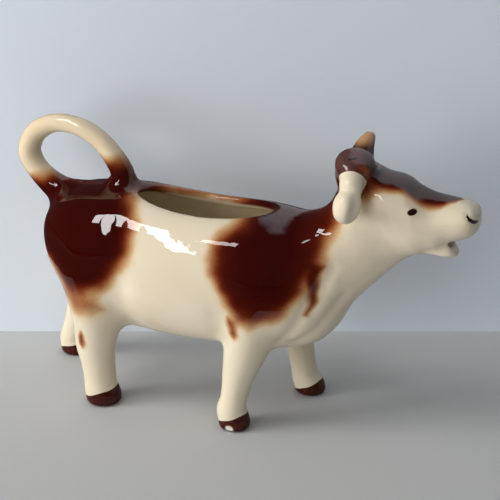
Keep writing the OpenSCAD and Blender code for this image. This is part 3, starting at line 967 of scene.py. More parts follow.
# Darker middle of the shoulder, and its top up to the neck
SHOULDER_MIDDLE: Table = ((9, 73), (7, 63), (11, 54), (18, 51), (26, 56), (29, 64), (29, 72), (20, 75))
SHOULDER_TOP: Table = ((9, 92), (9, 68), (30, 68), (36, 92))
# Runs of colour down the neck, the fore leg and the hind leg
NECK_RUN: Table = (
    (34.2, 68), (38.4, 67), (37.8, 60), (36.4, 54), (34.8, 48.6), (33.9, 48.8), (34.4, 56), (34.4, 62))
FORE_LEG_RUN: Table = ((7.5, 46.6), (9.9, 45.8), (10.9, 40), (9.2, 38.2), (7.3, 40.2))
HIND_LEG_RUN: Table = ((-52.5, 31.2), (-51.3, 29.4), (-51.7, 26.6), (-53.3, 23.6), (-54.6, 24.6), (-54, 28.4))
# Thin spray along the far edge of the filler opening
FAR_EDGE: Table = ((-40, 90), (20, 90), (20, 77), (-8, 76.5), (-26, 77), (-40, 78))
PATCHES = (
    Patch(Side.RIGHT, RUMP, 5.6), Patch(Side.LEFT, RUMP, 5.6),
    Patch(Side.RIGHT, RUMP_MIST, 4.5, 0.44), Patch(Side.LEFT, FAR_RUMP_MIST, 4.5, 0.34),
    Patch(Side.RIGHT, SHOULDER, 4.8, 0.82), Patch(Side.LEFT, FAR_SHOULDER, 4.8),
    Patch(Side.RIGHT, SHOULDER_MIDDLE, 6.0), Patch(Side.RIGHT, SHOULDER_TOP, 8.0),
    Patch(Side.RIGHT, NECK_RUN, 1.6, 0.72), Patch(Side.RIGHT, FORE_LEG_RUN, 2.0, 0.64),
    Patch(Side.RIGHT, HIND_LEG_RUN, 1.5, 0.66), Patch(Side.LEFT, FAR_EDGE, 2.4, 0.46),
    Blaze(),
)


def sprayed(points: Array) -> Array:
    """Density of the sprayed brown of all patches together.

    Args:
        points: Points in mm.

    Returns:
        Numbers from 0 to 1.
    """
    spread, bare = wander(points), np.ones(len(points))
    for patch in PATCHES:
        bare *= 1 - patch.density(spread)
    return 1 - bare


@dataclass(frozen=True)
class Noise:
    """Cloudy noise on the object: cells per metre, detail, strength."""

    cells: float
    detail: float
    strength: float = 1.0


@dataclass(frozen=True)
class Specks:
    """Rare iron specks: cells per metre, size as a share of a cell, how rare, strength, colour."""

    cells: float = 105.0
    size: float = 0.035
    rarity: float = 0.66
    weights: Colour = (0.34, 0.33, 0.33)
    strength: float = 0.6
    colour: Colour = (0.16, 0.09, 0.045)


@dataclass(frozen=True)
class Glaze:
    """Clear glossy glaze over cream slip and sprayed brown."""

    name: str
    stops: Stops = (
        (0.0, (0.80, 0.705, 0.545)), (0.10, (0.77, 0.63, 0.44)), (0.22, (0.62, 0.41, 0.225)),
        (0.34, (0.47, 0.255, 0.115)), (0.46, (0.35, 0.13, 0.05)), (0.60, (0.20, 0.047, 0.014)),
        (0.74, (0.105, 0.0125, 0.0025)), (0.88, (0.056, 0.0034, 0.0008)), (1.0, (0.034, 0.0012, 0.0004)))
    # Painted light: the inside glaze is lighter and yellower than the outside cream, standing in for the
    # light that falls through the opening
    inner: Colour = (0.95, 0.84, 0.62)
    # Tan of the horn tip; on the worn horn this colour is its painted sheen
    tan: Colour = (0.48, 0.27, 0.13)
    roughness: float = 0.24
    coat: float = 1.0
    coat_roughness: float = 0.025
    cloud: Noise = Noise(48.0, 3.0)
    cloud_stops: Stops = ((0.3, (0.93, 0.92, 0.88)), (0.7, (1.0, 1.0, 1.0)))
    ripple: Noise = Noise(210.0, 1.0, 0.35)
    ripple_depth: float = 0.00016
    fine_spatter: Noise = Noise(1500.0, 2.0, 0.5)
    broad_spatter: Noise = Noise(170.0, 4.0, 0.55)
    iron: Specks = Specks()

    def material(self) -> bpy.types.Material:
        """Builds the node material.

        Returns:
            The material.
        """
        mat = bpy.data.materials.new(self.name)
        mat.use_nodes = True
        paint = Brushwork(mat.node_tree)
        shader = mat.node_tree.nodes["Principled BSDF"]
        shader.inputs["Roughness"].default_value = self.roughness
        shader.inputs["Specular IOR Level"].default_value = 0.0
        shader.inputs["Coat Weight"].default_value = self.coat
        shader.inputs["Coat Roughness"].default_value = self.coat_roughness
        paint.link(self.colour(paint), shader.inputs["Base Color"])
        ripple = paint.ripple(self.ripple, self.ripple_depth)
        paint.link(ripple, shader.inputs["Normal"])
        paint.link(ripple, shader.inputs["Coat Normal"])
        return mat

    def colour(self, paint: "Brushwork") -> bpy.types.NodeSocket:
        """Lays the colours on top of each other.

        Args:
            paint: Node tree helper.

        Returns:
            The colour socket.
        """
        spray = paint.grained(Coat.BRUSH, (self.fine_spatter, self.broad_spatter))
        base = paint.ramp(spray, self.stops)
        # painted light laid on the inside walls
        base = paint.mix(paint.attribute(Coat.INNER), base, self.inner)
        # tan horn tip, and the painted sheen on the worn horn
        base = paint.mix(paint.attribute(Coat.TAN), base, self.tan)
        shade = paint.ramp(paint.noise(self.cloud), self.cloud_stops)
        return paint.specks(paint.times(base, shade), self.iron)


@dataclass(frozen=True)
class WornSheenGlaze(Glaze):
    """A horn rubbed down at the top, with a rougher coat, dull mauve painted on as its sheen, and dark lines
    painted in it.
    """

    # painted sheen: dull mauve standing in for the glaze's reflection on the worn top
    tan: Colour = (0.105, 0.046, 0.041)
    coat_roughness: float = 0.16
    # Dark lines painted across the worn top
    dark_lines: tuple[tuple[Point, Point], ...] = (
        ((45.5, 9.55, 104.5), (47.2, 8.65, 104.8)), ((51.3, 9.0, 103.4), (52.1, 9.2, 102.1)),
        ((52.4, 7.8, 103.15), (52.9, 7.7, 102.0)))
    dark_line_width: float = 0.5
    dark: Colour = (0.008, 0.003, 0.003)

    def colour(self, paint: "Brushwork") -> bpy.types.NodeSocket:
        """Lays the dark lines over the glaze's colours.

        Args:
            paint: Node tree helper.

        Returns:
            The colour socket.
        """
        base = Glaze.colour(self, paint)
        point = paint.mirrored()
        for a, b in self.dark_lines:
            base = paint.mix(paint.line(point, a, b, self.dark_line_width), base, self.dark)
        return base


@dataclass(frozen=True)
class HeadGlaze(Glaze):
    """The head's glaze with brushed eyes and nostrils."""

    eye_size: tuple[float, float] = (1.58, 1.06)
    eye_lean: float = 0.2
    nostril_width: tuple[float, ...] = (0.4, 0.52, 0.66, 0.62, 0.42)
    dark: Colour = (0.024, 0.004, 0.003)

    def colour(self, paint: "Brushwork") -> bpy.types.NodeSocket:
        """Lays eyes and nostrils over the glaze's colours.

        Args:
            paint: Node tree helper.

        Returns:
            The colour socket.
        """
        base = Glaze.colour(self, paint)
        point = paint.mirrored()
        base = paint.mix(paint.oval(point, EYE, self.eye_size, self.eye_lean), base, self.dark)
        for a, b, width in zip(NOSTRIL[:-1], NOSTRIL[1:], self.nostril_width):
            base = paint.mix(paint.line(point, a, b, width), base, self.dark)
        return base


@dataclass(frozen=True)
class HoofGlaze(Glaze):
    """Thick brown enamel on the hooves, chipped to the bare clay in one place."""

    stops: Stops = (
        (0.25, (0.03, 0.003, 0.0012)), (0.6, (0.06, 0.009, 0.003)), (0.8, (0.11, 0.022, 0.009)))
    bare: Colour = (0.80, 0.75, 0.68)
    coat: float = 0.5
    streaks: Noise = Noise(520.0, 4.0)

    def colour(self, paint: "Brushwork") -> bpy.types.NodeSocket:
        """Brown enamel, streaked by the brush."""
        base = paint.ramp(paint.noise(self.streaks), self.stops)
        return paint.mix(paint.attribute(Coat.BARE), base, self.bare)


class Brushwork:
    """Small helper that lays out shader nodes."""

    eye_edge: float = 0.1
    line_edge: float = 0.2
    eye_depth: float = 2.0
    mm_per_m: Point = (1000.0, 1000.0, 1000.0)

    def __init__(self, tree: bpy.types.NodeTree) -> None:
        """Works in one node tree."""
        self.tree = tree
        self.place = tree.nodes.new("ShaderNodeTexCoord").outputs["Object"]

    def link(self, a: bpy.types.NodeSocket, b: bpy.types.NodeSocket) -> None:
        """Joins two sockets."""
        self.tree.links.new(a, b)

    def feed(self, socket: bpy.types.NodeSocket, value: object) -> None:
        """Gives a socket a link or a constant.

        Args:
            socket: The socket.
            value: Another socket, a number, a vector or a colour.
        """
        if isinstance(value, bpy.types.NodeSocket):
            self.link(value, socket)
        elif isinstance(value, tuple) and len(socket.default_value) == 4:
            socket.default_value = (*value, 1.0)
        else:
            socket.default_value = value

    def math(self, kind: str, *values: object, clamp: bool = False) -> bpy.types.NodeSocket:
        """A Math node.

        Args:
            kind: Its operation.
            values: Links or numbers.
            clamp: Whether the result is held between 0 and 1.

        Returns:
            The result.
        """
        node = self.tree.nodes.new("ShaderNodeMath")
        node.operation, node.use_clamp = kind, clamp
        for socket, value in zip(node.inputs, values):
            self.feed(socket, value)
        return node.outputs[0]

    def vector(self, kind: str, *values: object) -> bpy.types.Node:
        """A Vector Math node.

        Args:
            kind: Its operation.
            values: Links or vectors.

        Returns:
            The node.
        """
        node = self.tree.nodes.new("ShaderNodeVectorMath")
        node.operation = kind
        for socket, value in zip(node.inputs, values):
            self.feed(socket, value)
        return node

    def attribute(self, coat: Coat) -> bpy.types.NodeSocket:
        """One of the skin's own attributes.

        Args:
            coat: Which one.

        Returns:
            Its value.
        """
        node = self.tree.nodes.new("ShaderNodeAttribute")
        node.attribute_name = coat.value
        return node.outputs["Fac"]

    def noise(self, kind: Noise) -> bpy.types.NodeSocket:
        """Cloudy noise on the object.

        Args:
            kind: Its cells and detail.

        Returns:
            A number from 0 to 1.
        """
        node = self.tree.nodes.new("ShaderNodeTexNoise")
        node.inputs["Scale"].default_value = kind.cells
        node.inputs["Detail"].default_value = kind.detail
        self.link(self.place, node.inputs["Vector"])
        return node.outputs["Fac"]

    def ramp(self, value: bpy.types.NodeSocket, stops: Stops) -> bpy.types.NodeSocket:
        """Colours along a scale.

        Args:
            value: The place on the scale.
            stops: Places and colours.

        Returns:
            The colour.
        """
        node = self.tree.nodes.new("ShaderNodeValToRGB")
        marks = node.color_ramp.elements
        while len(marks) < len(stops):
            marks.new(0.5)
        for mark, (at, colour) in zip(marks, stops):
            mark.position, mark.color = at, (*colour, 1.0)
        self.link(value, node.inputs["Fac"])
        return node.outputs["Color"]

    def blend(self, kind: str, share: object, a: object, b: object) -> bpy.types.NodeSocket:
        """A colour Mix node.

        Args:
            kind: Its blend type.
            share: How much of b.
            a: Link or colour.
            b: Link or colour.

        Returns:
            The colour.
        """
        node = self.tree.nodes.new("ShaderNodeMix")
        node.data_type, node.blend_type = "RGBA", kind
        self.feed(node.inputs[0], share)
        self.feed(node.inputs[6], a)
        self.feed(node.inputs[7], b)
        return node.outputs[2]

    def mix(self, share: object, a: object, b: object) -> bpy.types.NodeSocket:
        """Colour b laid over colour a."""
        return self.blend("MIX", share, a, b)

    def times(self, a: object, b: object) -> bpy.types.NodeSocket:
        """Colour a darkened by colour b."""
        return self.blend("MULTIPLY", 1.0, a, b)

    def grained(self, coat: Coat, spatter: tuple[Noise, ...]) -> bpy.types.NodeSocket:
        """A sprayed attribute with the spatter of the spray in its soft edges.

        Args:
            coat: The attribute.
            spatter: Kinds of noise that break up its edges.

        Returns:
            Density from 0 to 1.
        """
        value = self.attribute(coat)
        edge = self.math("MULTIPLY", value, self.math("SUBTRACT", 1.0, value))
        fine, broad = (self.math("MULTIPLY", self.math("SUBTRACT", self.noise(kind), 0.5), kind.strength)
                       for kind in spatter)
        return self.math("ADD", value, self.math("MULTIPLY", edge, self.math("ADD", fine, broad)), clamp=True)

    def specks(self, base: bpy.types.NodeSocket, kind: Specks) -> bpy.types.NodeSocket:
        """Specks laid over a colour.

        Args:
            base: The colour.
            kind: The specks.

        Returns:
            The colour with the specks.
        """
        node = self.tree.nodes.new("ShaderNodeTexVoronoi")
        node.inputs["Scale"].default_value = kind.cells
        self.link(self.place, node.inputs["Vector"])
        near = self.math("LESS_THAN", node.outputs["Distance"], kind.size)
        luck = self.vector("DOT_PRODUCT", node.outputs["Color"], kind.weights).outputs["Value"]
        rare = self.math("GREATER_THAN", luck, kind.rarity)
        share = self.math("MULTIPLY", self.math("MULTIPLY", near, rare), kind.strength)
        return self.mix(share, base, kind.colour)

    def ripple(self, kind: Noise, depth: float) -> bpy.types.NodeSocket:
        """The slight unevenness of a fired glaze.

        Args:
            kind: Its cells, detail and strength.
            depth: Its depth in metres.

        Returns:
            The normal.
        """
        node = self.tree.nodes.new("ShaderNodeBump")
        node.inputs["Strength"].default_value = kind.strength
        node.inputs["Distance"].default_value = depth
        self.link(self.noise(kind), node.inputs["Height"])
        return node.outputs["Normal"]

    def mirrored(self) -> bpy.types.NodeSocket:
        """Object coordinates in mm with both sides folded on to one."""
        folded = self.vector("ABSOLUTE", self.place).outputs[0]
        return self.vector("MULTIPLY", folded, self.mm_per_m).outputs[0]

    def edge(self, distance: bpy.types.NodeSocket, soft: float) -> bpy.types.NodeSocket:
        """1 inside a distance of 1, 0 outside, with a soft edge."""
        return self.math("DIVIDE", self.math("SUBTRACT", 1.0 + soft, distance), 2 * soft, clamp=True)

    def oval(self, point: bpy.types.NodeSocket, centre: Point, size: tuple[float, float],
             lean: float) -> bpy.types.NodeSocket:
        """A brushed oval in the side view, on the outside only.

        Args:
            point: Coordinates in mm.
            centre: Its middle in mm.
            size: Half length and half height in mm.
            lean: Its turn in radians.

        Returns:
            1 inside and 0 outside.
        """
        off = self.vector("SUBTRACT", point, centre).outputs[0]
        c, s = math.cos(lean), math.sin(lean)
        along = self.vector("DOT_PRODUCT", off, (c / size[0], 0.0, s / size[0])).outputs["Value"]
        across = self.vector("DOT_PRODUCT", off, (-s / size[1], 0.0, c / size[1])).outputs["Value"]
        deep = self.vector("DOT_PRODUCT", off, (0.0, 1.0 / self.eye_depth, 0.0)).outputs["Value"]
        total = self.math("ADD", self.math("MULTIPLY", along, along), self.math("MULTIPLY", across, across))
        depth = self.math("POWER", self.math("ABSOLUTE", deep), 4.0)
        return self.edge(self.math("SQRT", self.math("ADD", total, depth)), self.eye_edge)

    def line(self, point: bpy.types.NodeSocket, a: Point, b: Point, width: float) -> bpy.types.NodeSocket:
        """A brushed line between two points.

        Args:
            point: Coordinates in mm.
            a: One end in mm.
            b: The other end in mm.
            width: Half width in mm.

        Returns:
            1 on the line and 0 off it.
        """
        run = tuple(q - p for p, q in zip(a, b))
        long = sum(v * v for v in run)
        off = self.vector("SUBTRACT", point, a).outputs[0]
        share = self.math("DIVIDE", self.vector("DOT_PRODUCT", off, run).outputs["Value"], long, clamp=True)
        step = self.tree.nodes.new("ShaderNodeVectorMath")
        step.operation = "SCALE"
        step.inputs[0].default_value = run
        self.link(share, step.inputs["Scale"])
        far = self.vector("LENGTH", self.vector("SUBTRACT", off, step.outputs[0]).outputs[0]).outputs["Value"]
        return self.edge(self.math("DIVIDE", far, width), self.line_edge)


@dataclass(frozen=True)
class Chip:
    """The chip in the fore right hoof: its place, half width, depth, and the bare clay round its middle."""

    place: Point = (7.0, -24.9, 1.4)
    width: float = 1.5
    depth: float = 0.7
    bare: Ease = (1.9, -0.6)


@dataclass(frozen=True)
class Handwork:
    """Where colours laid by hand, the painted light inside and the painted sheen on the worn horn begin and
    fade on the pieces, in mm, and how strong they are.
    """

    # Painted light inside: how far in from the cavity it begins, and where it fades out below the filler rim
    inner: Ease = (1.2, -1.2)
    below_rim: Ease = (79.0, -3.0)
    ear_root: Ease = (11.0, -3.0)
    ear_strength: float = 0.3
    tail_warmth: float = 0.09
    horn_tip: Ease = (103.9, 3.4)
    # Painted sheen on the worn horn: where it begins up its top and where it fades out towards the front
    worn_top: Ease = (97.5, 5.0)
    worn_sheen_back: Ease = (52.0, -7.0)


PIECES = ("body_shell", "head_shell", "lower_lip", "tail_handle", "horn_right", "horn_left",
          "ear_right", "ear_left", *("leg_" + leg.name for leg in LEGS),
          *("hoof_" + leg.name for leg in LEGS))
SLOTS = {"body_shell": "body_glaze", "head_shell": "head_glaze", "horn_right": "horn_glaze",
         "horn_left": "horn_glaze", **{"hoof_" + leg.name: "hoof_glaze" for leg in LEGS}}
# Pieces whose finish differs from that of their slot
FINISHES = {"ear_right": "ear_glaze", "ear_left": "ear_glaze", "horn_right": "worn_glaze"}


@dataclass
class Creamer:
    """The whole creamer: forms, skin and pieces."""

    trunk_steps: int = 6
    trunk_sides: int = 120
    cavity_sides: int = 96
    sole_edge: float = 1.2
    relax_rounds: int = 8
    lid_rings: int = 5
    lid_depth: float = 1.4
    on_line: float = 0.1
    chip: Chip = Chip()
    handwork: Handwork = Handwork()
    clay: Clay = field(default_factory=Clay)
    hollow: Hollow = field(default_factory=Hollow)
    forms: dict[str, Array] = field(default_factory=dict)

    def outside(self) -> Array:
        """Shapes every outer form and blends them.

        Returns:
            The field of the solid animal.
        """
        clay, forms, tree = self.clay, self.forms, sweep_tree()
        rows = refine(tuple(TRUNK) + tuple(HEAD), self.trunk_steps)
        forms["trunk"] = whole = clay.form(*loft(shell_rings(rows, self.trunk_sides)))
        for leg in LEGS:
            forms["leg_" + leg.name] = clay.form(*Limb(leg.name, leg.path()).sweep(tree))
            whole = merge(whole, forms["leg_" + leg.name], leg.fillet)
        below = np.broadcast_to(clay.axes[2].astype(np.float32), clay.shape)
        whole = carve(whole, below, self.sole_edge)
        tail = Tail()
        forms["tail_handle"] = clay.form(*Limb("tail_handle", tail.path()).sweep(tree))
        whole = merge(whole, forms["tail_handle"], tail.fillet)
        for horn, ear in zip(HORNS, EARS):
            side = horn.side.name.lower()
            forms["horn_" + side], forms["ear_" + side] = horn.form(clay), ear.form(clay)
            whole = merge(whole, forms["horn_" + side], horn.fillet)
            whole = merge(whole, forms["ear_" + side], ear.fillet)
        lip = Lip()
        forms["lower_lip"] = clay.form(*loft(lip.rings()))
        whole = merge(whole, forms["lower_lip"], lip.fillet)
        for stroke in STROKES:
            for side in stroke.sides:
                clay.press(whole, np.array(stroke.line) * (1.0, side.value, 1.0), stroke.width, stroke.height)
        return whole

    def skin(self) -> Skin:
        """Hollows the animal and takes its skin, tagged by piece.

        Returns:
            The skin.
        """
        clay, hollow = self.clay, self.hollow
        whole = self.outside()
        self.forms["cavity"] = cavity = clay.form(*loft(shell_rings(hollow.cavity_rows(), self.cavity_sides)))
        filler = clay.form(*loft(hollow.filler_rings()))
        mouth = clay.form(*loft(hollow.mouth_rings()))
        whole = carve(whole, merge(cavity, filler, hollow.throat_fillet), hollow.rim_edge)
        whole = carve(whole, mouth, hollow.mouth_edge)
        clay.press(whole, np.array([self.chip.place]), self.chip.width, -self.chip.depth)
        skin = Skin(*clay.surface(whole))
        skin.relax(self.relax_rounds)
        skin.shade()
        self.divide(skin)
        return skin

    def seam(self, points: Array) -> Array:
        """Measures from the neck seam.

        Args:
            points: Points in mm.

        Returns:
            Distance behind the seam in mm; the head is below zero.
        """
        (xa, za), (xb, zb) = SEAM
        long = math.hypot(xb - xa, zb - za)
        return -((points[:, 0] - xa) * (za - zb) - (points[:, 2] - za) * (xa - xb)) / long

    def divide(self, skin: Skin) -> None:
        """Tags the skin by the piece that it was luted from.

        Args:
            skin: The skin.
        """
        for leg in LEGS:
            skin.part(leg.above_line(skin.points), 0, PIECES.index("hoof_" + leg.name))
        for leg in LEGS:
            self.lute(skin, "leg_" + leg.name, ("trunk",))
        self.lute(skin, "tail_handle", ("trunk",))
        self.lute(skin, "lower_lip", ("trunk",))
        for side in ("right", "left"):
            self.lute(skin, "ear_" + side, ("trunk", "horn_" + side))
            self.lute(skin, "horn_" + side, ("trunk",))
        skin.part(self.seam(skin.points), 0, PIECES.index("head_shell"))

    def lute(self, skin: Skin, name: str, others: tuple[str, ...]) -> None:
        """Takes a piece off the body where its own form is nearer than the others.

        Args:
            skin: The skin.
            name: The piece.
            others: The forms that it is joined to.
        """
        own = self.clay.sample(self.forms[name], skin.points)
        rest = np.min([self.clay.sample(self.forms[o], skin.points) for o in others], 0)
        skin.part(own - rest, 0, PIECES.index(name))

    def cap(self, skin: Skin, loop: Array, extra: list[Array], base: int) -> Array:
        """Closes one rim of a piece with a lid inside the wall.

        Args:
            skin: The skin.
            loop: Points of the rim.
            extra: List to which new points are added.
            base: Number of the first new point.

        Returns:
            Triangles of the lid.
        """
        rim, rounds = skin.points[loop], self.lid_rings
        middle = rim.mean(0)
        flat = any(np.abs(leg.above_line(rim)).max() < self.on_line for leg in LEGS)
        rings = [rim + (middle - rim) * k / rounds for k in range(1, rounds)]
        lid = np.vstack(rings + [middle[None]])
        if not flat:
            lid = self.clay.settle(self.forms["trunk"], lid, -self.lid_depth)
        extra.append(lid)
        n = len(loop)
        rows = [loop] + [base + k * n + np.arange(n) for k in range(rounds - 1)]
        tris = []
        for a, b in zip(rows[:-1], rows[1:]):
            a2, b2 = np.roll(a, -1), np.roll(b, -1)
            tris += [np.stack([a2, a, b], 1), np.stack([a2, b, b2], 1)]
        last = rows[-1]
        tris.append(np.stack([np.roll(last, -1), last, np.full(n, base + len(lid) - 1)], 1))
        return np.concatenate(tris)

    def unrolled(self, points: Array, loop: Array, centre: Array) -> tuple[Array, Array, bool]:
        """Opens a rim of the neck seam at its lowest angle.

        Args:
            points: Points of the skin in mm.
            loop: Points of the rim, by number.
            centre: Middle of the seam.

        Returns:
            The rim from there once round, its angles, and whether it ran that way before.
        """
        (xa, za), (xb, zb) = SEAM
        p = points[loop] - centre
        height = (p[:, 0] * (xa - xb) + p[:, 2] * (za - zb)) / math.hypot(xa - xb, za - zb)
        angle = np.arctan2(height, p[:, 1])
        run = np.unwrap(angle)
        forward = bool(run[-1] > run[0])
        if not forward:
            loop, angle = loop[::-1], angle[::-1]
        k = angle.argmin()
        loop, angle = np.roll(loop, -k), np.unwrap(np.roll(angle, -k))
        return np.append(loop, loop[0]), np.append(angle, angle[0] + 2 * math.pi), forward

    def bridge(self, skin: Skin, outer: Array, inner: Array) -> Array:
        """Closes the cut wall at the neck seam between its outer and inner rim.

        Args:
            skin: The skin.
            outer: Points of the outer rim.
            inner: Points of the inner rim.

        Returns:
            Triangles of the cut.
        """
        centre = skin.points[outer].mean(0)
        o, ao, forward = self.unrolled(skin.points, outer, centre)
        i, ai, _ = self.unrolled(skin.points, inner, centre)
        tris, j, k = [], 0, 0
        while j < len(o) - 1 or k < len(i) - 1:
            if k == len(i) - 1 or (j < len(o) - 1 and ao[j + 1] <= ai[k + 1]):
                tris.append((o[j + 1], o[j], i[k]))
                j += 1
            else:
                tris.append((o[j], i[k], i[k + 1]))
                k += 1
        tris = np.array(tris)
        return tris if forward else tris[:, ::-1]

    def pieces(self, skin: Skin, finishes: dict[str, bpy.types.Material]) -> list[bpy.types.Object]:
        """Makes one closed mesh of each piece.

        Args:
            skin: The tagged skin.
            finishes: Materials by name.

        Returns:
            The objects.
        """
        made = []
        for tag, name in enumerate(PIECES):
            tris = skin.tris[skin.tags == tag]
            extra: list[Array] = []
            base = len(skin.points)
            lids, cut = [], []
            for loop in rims(tris):
                if np.abs(self.seam(skin.points[loop])).max() < self.on_line:
                    cut.append(loop)
                    continue
                lids.append(self.cap(skin, loop, extra, base + sum(map(len, extra))))
            if len(cut) == 2:
                lids.append(self.bridge(skin, *cut))
            points = np.vstack([skin.points, *extra])
            normals = np.vstack([skin.normals, np.tile([0.0, 0.0, 1.0], (len(points) - base, 1))])
            tris = np.concatenate([tris, *lids])
            used, tris = np.unique(tris, return_inverse=True)
            made.append(self.piece(name, points[used], tris.reshape(-1, 3), normals[used], finishes))
        return made

    def piece(self, name: str, points: Array, tris: Array, normals: Array,
              finishes: dict[str, bpy.types.Material]) -> bpy.types.Object:
        """Makes one object.

        Args:
            name: CAD node that it stands for.
            points: Points in mm.
            tris: Triangles.
            normals: Smooth normals of the whole skin.
            finishes: Materials by name.

        Returns:
            The object.
        """
        mesh = bpy.data.meshes.new(name + "_skin")
        mesh.from_pydata(points * MM, [], tris)
        mesh.polygons.foreach_set("use_smooth", np.ones(len(tris), bool))
        mesh.normals_split_custom_set_from_vertices(normals)
        for coat, value in self.coats(name, points).items():
            layer = mesh.attributes.new(coat.value, "FLOAT", "POINT")
            layer.data.foreach_set("value", value.astype(np.float32))
        slot = SLOTS.get(name, "cream_glaze")
        mesh.materials.append(finishes[FINISHES.get(name, slot)])
        piece = bpy.data.objects.new(name + "_glazed", mesh)
        bpy.context.scene.collection.objects.link(piece)
        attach(piece, "root")
        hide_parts(name)
        LOG.info("%s: %d triangles", piece.name, len(tris))
        return piece

    def coats(self, name: str, points: Array) -> dict[Coat, Array]:
        """Hand-laid colour, painted light and painted sheen on one piece.

        Args:
            name: The piece.
            points: Its points in mm.

        Returns:
            One number per point for each coat.
        """
        hand, x, z = self.handwork, points[:, 0], points[:, 2]
        # Painted light: the inside is coloured lighter and yellower, fading out below the filler rim
        inner = rise(self.clay.sample(self.forms["cavity"], points), *hand.inner)
        inner *= rise(z, *hand.below_rim) if name == "body_shell" else 1.0
        none = np.zeros(len(points))
        out = {Coat.BRUSH: sprayed(points) * (1 - inner), Coat.INNER: inner, Coat.TAN: none, Coat.BARE: none}
        if name.startswith("ear"):
            out[Coat.BRUSH] = hand.ear_strength * rise(np.abs(points[:, 1]), *hand.ear_root)
        if name == "tail_handle":
            out[Coat.BRUSH] = np.maximum(out[Coat.BRUSH], hand.tail_warmth)
        if name == "horn_left":
            out[Coat.TAN] = rise(z, *hand.horn_tip)
        # painted sheen: dull mauve on the worn top of the right horn, fading out towards the front
        if name == "horn_right":
            worn = rise(points @ np.array(WORN_TOP[1]), *hand.worn_top)
            out[Coat.TAN] = worn * rise(x, *hand.worn_sheen_back)
        if name == "hoof_fore_right":
            away = np.linalg.norm(points - np.array(self.chip.place), axis=1)
            out[Coat.BARE] = rise(away, *self.chip.bare)
        return out


class Job(Enum):
    """What a lamp is there for: to light the scene, or to show in the glaze."""

    LIGHT = "light"
    SHINE = "shine"


@dataclass(frozen=True)
class Softbox:
    """A rectangular lamp.

    Its way is in degrees round to the left from straight in front and degrees up, its size in metres, its
    glow the brightness of its face, where 1 is white, and its lean how far its top leans to the left.
    """

    name: str
    job: Job
    way: tuple[float, float]
    size: tuple[float, float]
    glow: float
    lean: float = 0.0
    colour: Colour = (1.0, 0.985, 0.96)
    distance: float = 1.0
    middle: Point = (-0.01, -0.015, 0.065)

    def hang(self) -> None:
        """Puts up the lamp, aimed at the creamer."""
        turn, up = (math.radians(a) for a in self.way)
        data = bpy.data.lights.new(self.name, "AREA")
        data.shape = "RECTANGLE"
        data.size, data.size_y = self.size
        data.energy, data.color = self.glow * math.pi * self.size[0] * self.size[1], self.colour
        lamp = bpy.data.objects.new(self.name, data)
        reach = Vector((-math.sin(turn) * math.cos(up), -math.cos(turn) * math.cos(up), math.sin(up)))
        lamp.location = Vector(self.middle) + reach * self.distance
        roll = Quaternion((0.0, 0.0, 1.0), math.radians(self.lean))
        lamp.rotation_euler = ((-reach).to_track_quat("-Z", "Y") @ roll).to_euler()
        lamp.visible_glossy = self.job is Job.SHINE
        lamp.visible_diffuse = self.job is Job.LIGHT
        bpy.context.scene.collection.objects.link(lamp)


SOFTBOXES = (
    Softbox("side_light", Job.LIGHT, (58.0, 11.0), (0.40, 0.50), 10.6),
    Softbox("high_light", Job.LIGHT, (50.0, 58.0), (0.45, 0.45), 4.3),
    Softbox("low_fill", Job.LIGHT, (18.0, 6.0), (0.50, 0.40), 4.5),
    Softbox("left_pane", Job.SHINE, (47.0, 48.0), (0.12, 0.26), 14.0, 28.0),
    Softbox("middle_pane", Job.SHINE, (30.5, 42.0), (0.07, 0.65), 14.0, 27.0),
    Softbox("right_pane", Job.SHINE, (26.0, 53.0), (0.075, 0.12), 10.0),
)


@dataclass(frozen=True)
class Room:
    """The room round the stage: a pale wall that the glaze mirrors, dark beside it, a soft fill from above.

    The wall ends in two upright edges, each given as its sharpness and its shift. The left one leans back.
    """

    wall: Stops = (
        (0.0, (0.40, 0.41, 0.43)), (0.35, (0.48, 0.50, 0.52)), (0.60, (0.76, 0.78, 0.81)),
        (0.85, (1.05, 1.08, 1.12)))
    dark: Colour = (0.05, 0.05, 0.053)
    left_lean: float = 0.36
    left_edge: tuple[float, float] = (14.0, 1.2)
    right_edge: tuple[float, float] = (6.0, 0.6)
    fill: Stops = ((0.0, (0.04, 0.038, 0.035)), (0.5, (0.09, 0.087, 0.082)), (1.0, (0.35, 0.355, 0.365)))
    fill_way: Point = (0.0, -0.45, 0.89)
    seen: Colour = (0.62, 0.66, 0.70)

    def build(self) -> None:
        """Makes the world of the scene."""
        world = bpy.data.worlds.new("studio")
        world.use_nodes = True
        nodes = world.node_tree.nodes
        paint, ray = Brushwork(world.node_tree), nodes.new("ShaderNodeLightPath")
        way = nodes.new("ShaderNodeTexCoord").outputs["Generated"]
        axes = ((1.0, 0.0, 0.0), (0.0, 1.0, 0.0), (0.0, 0.0, 1.0), self.fill_way)
        along, back, high, above = (paint.vector("DOT_PRODUCT", way, axis).outputs["Value"] for axis in axes)
        left = paint.math("MULTIPLY_ADD", back, self.left_lean, along)
        left = paint.math("MULTIPLY_ADD", left, *self.left_edge, clamp=True)
        right = paint.math("MULTIPLY_ADD", back, *self.right_edge, clamp=True)
        shine = paint.mix(paint.math("MULTIPLY", left, right), self.dark, paint.ramp(high, self.wall))
        fill = paint.ramp(paint.math("MULTIPLY_ADD", above, 0.5, 0.5), self.fill)
        light = paint.mix(ray.outputs["Is Glossy Ray"], fill, shine)
        colour = paint.mix(ray.outputs["Is Camera Ray"], light, self.seen)
        paint.link(colour, nodes["Background"].inputs["Color"])
        bpy.context.scene.world = world


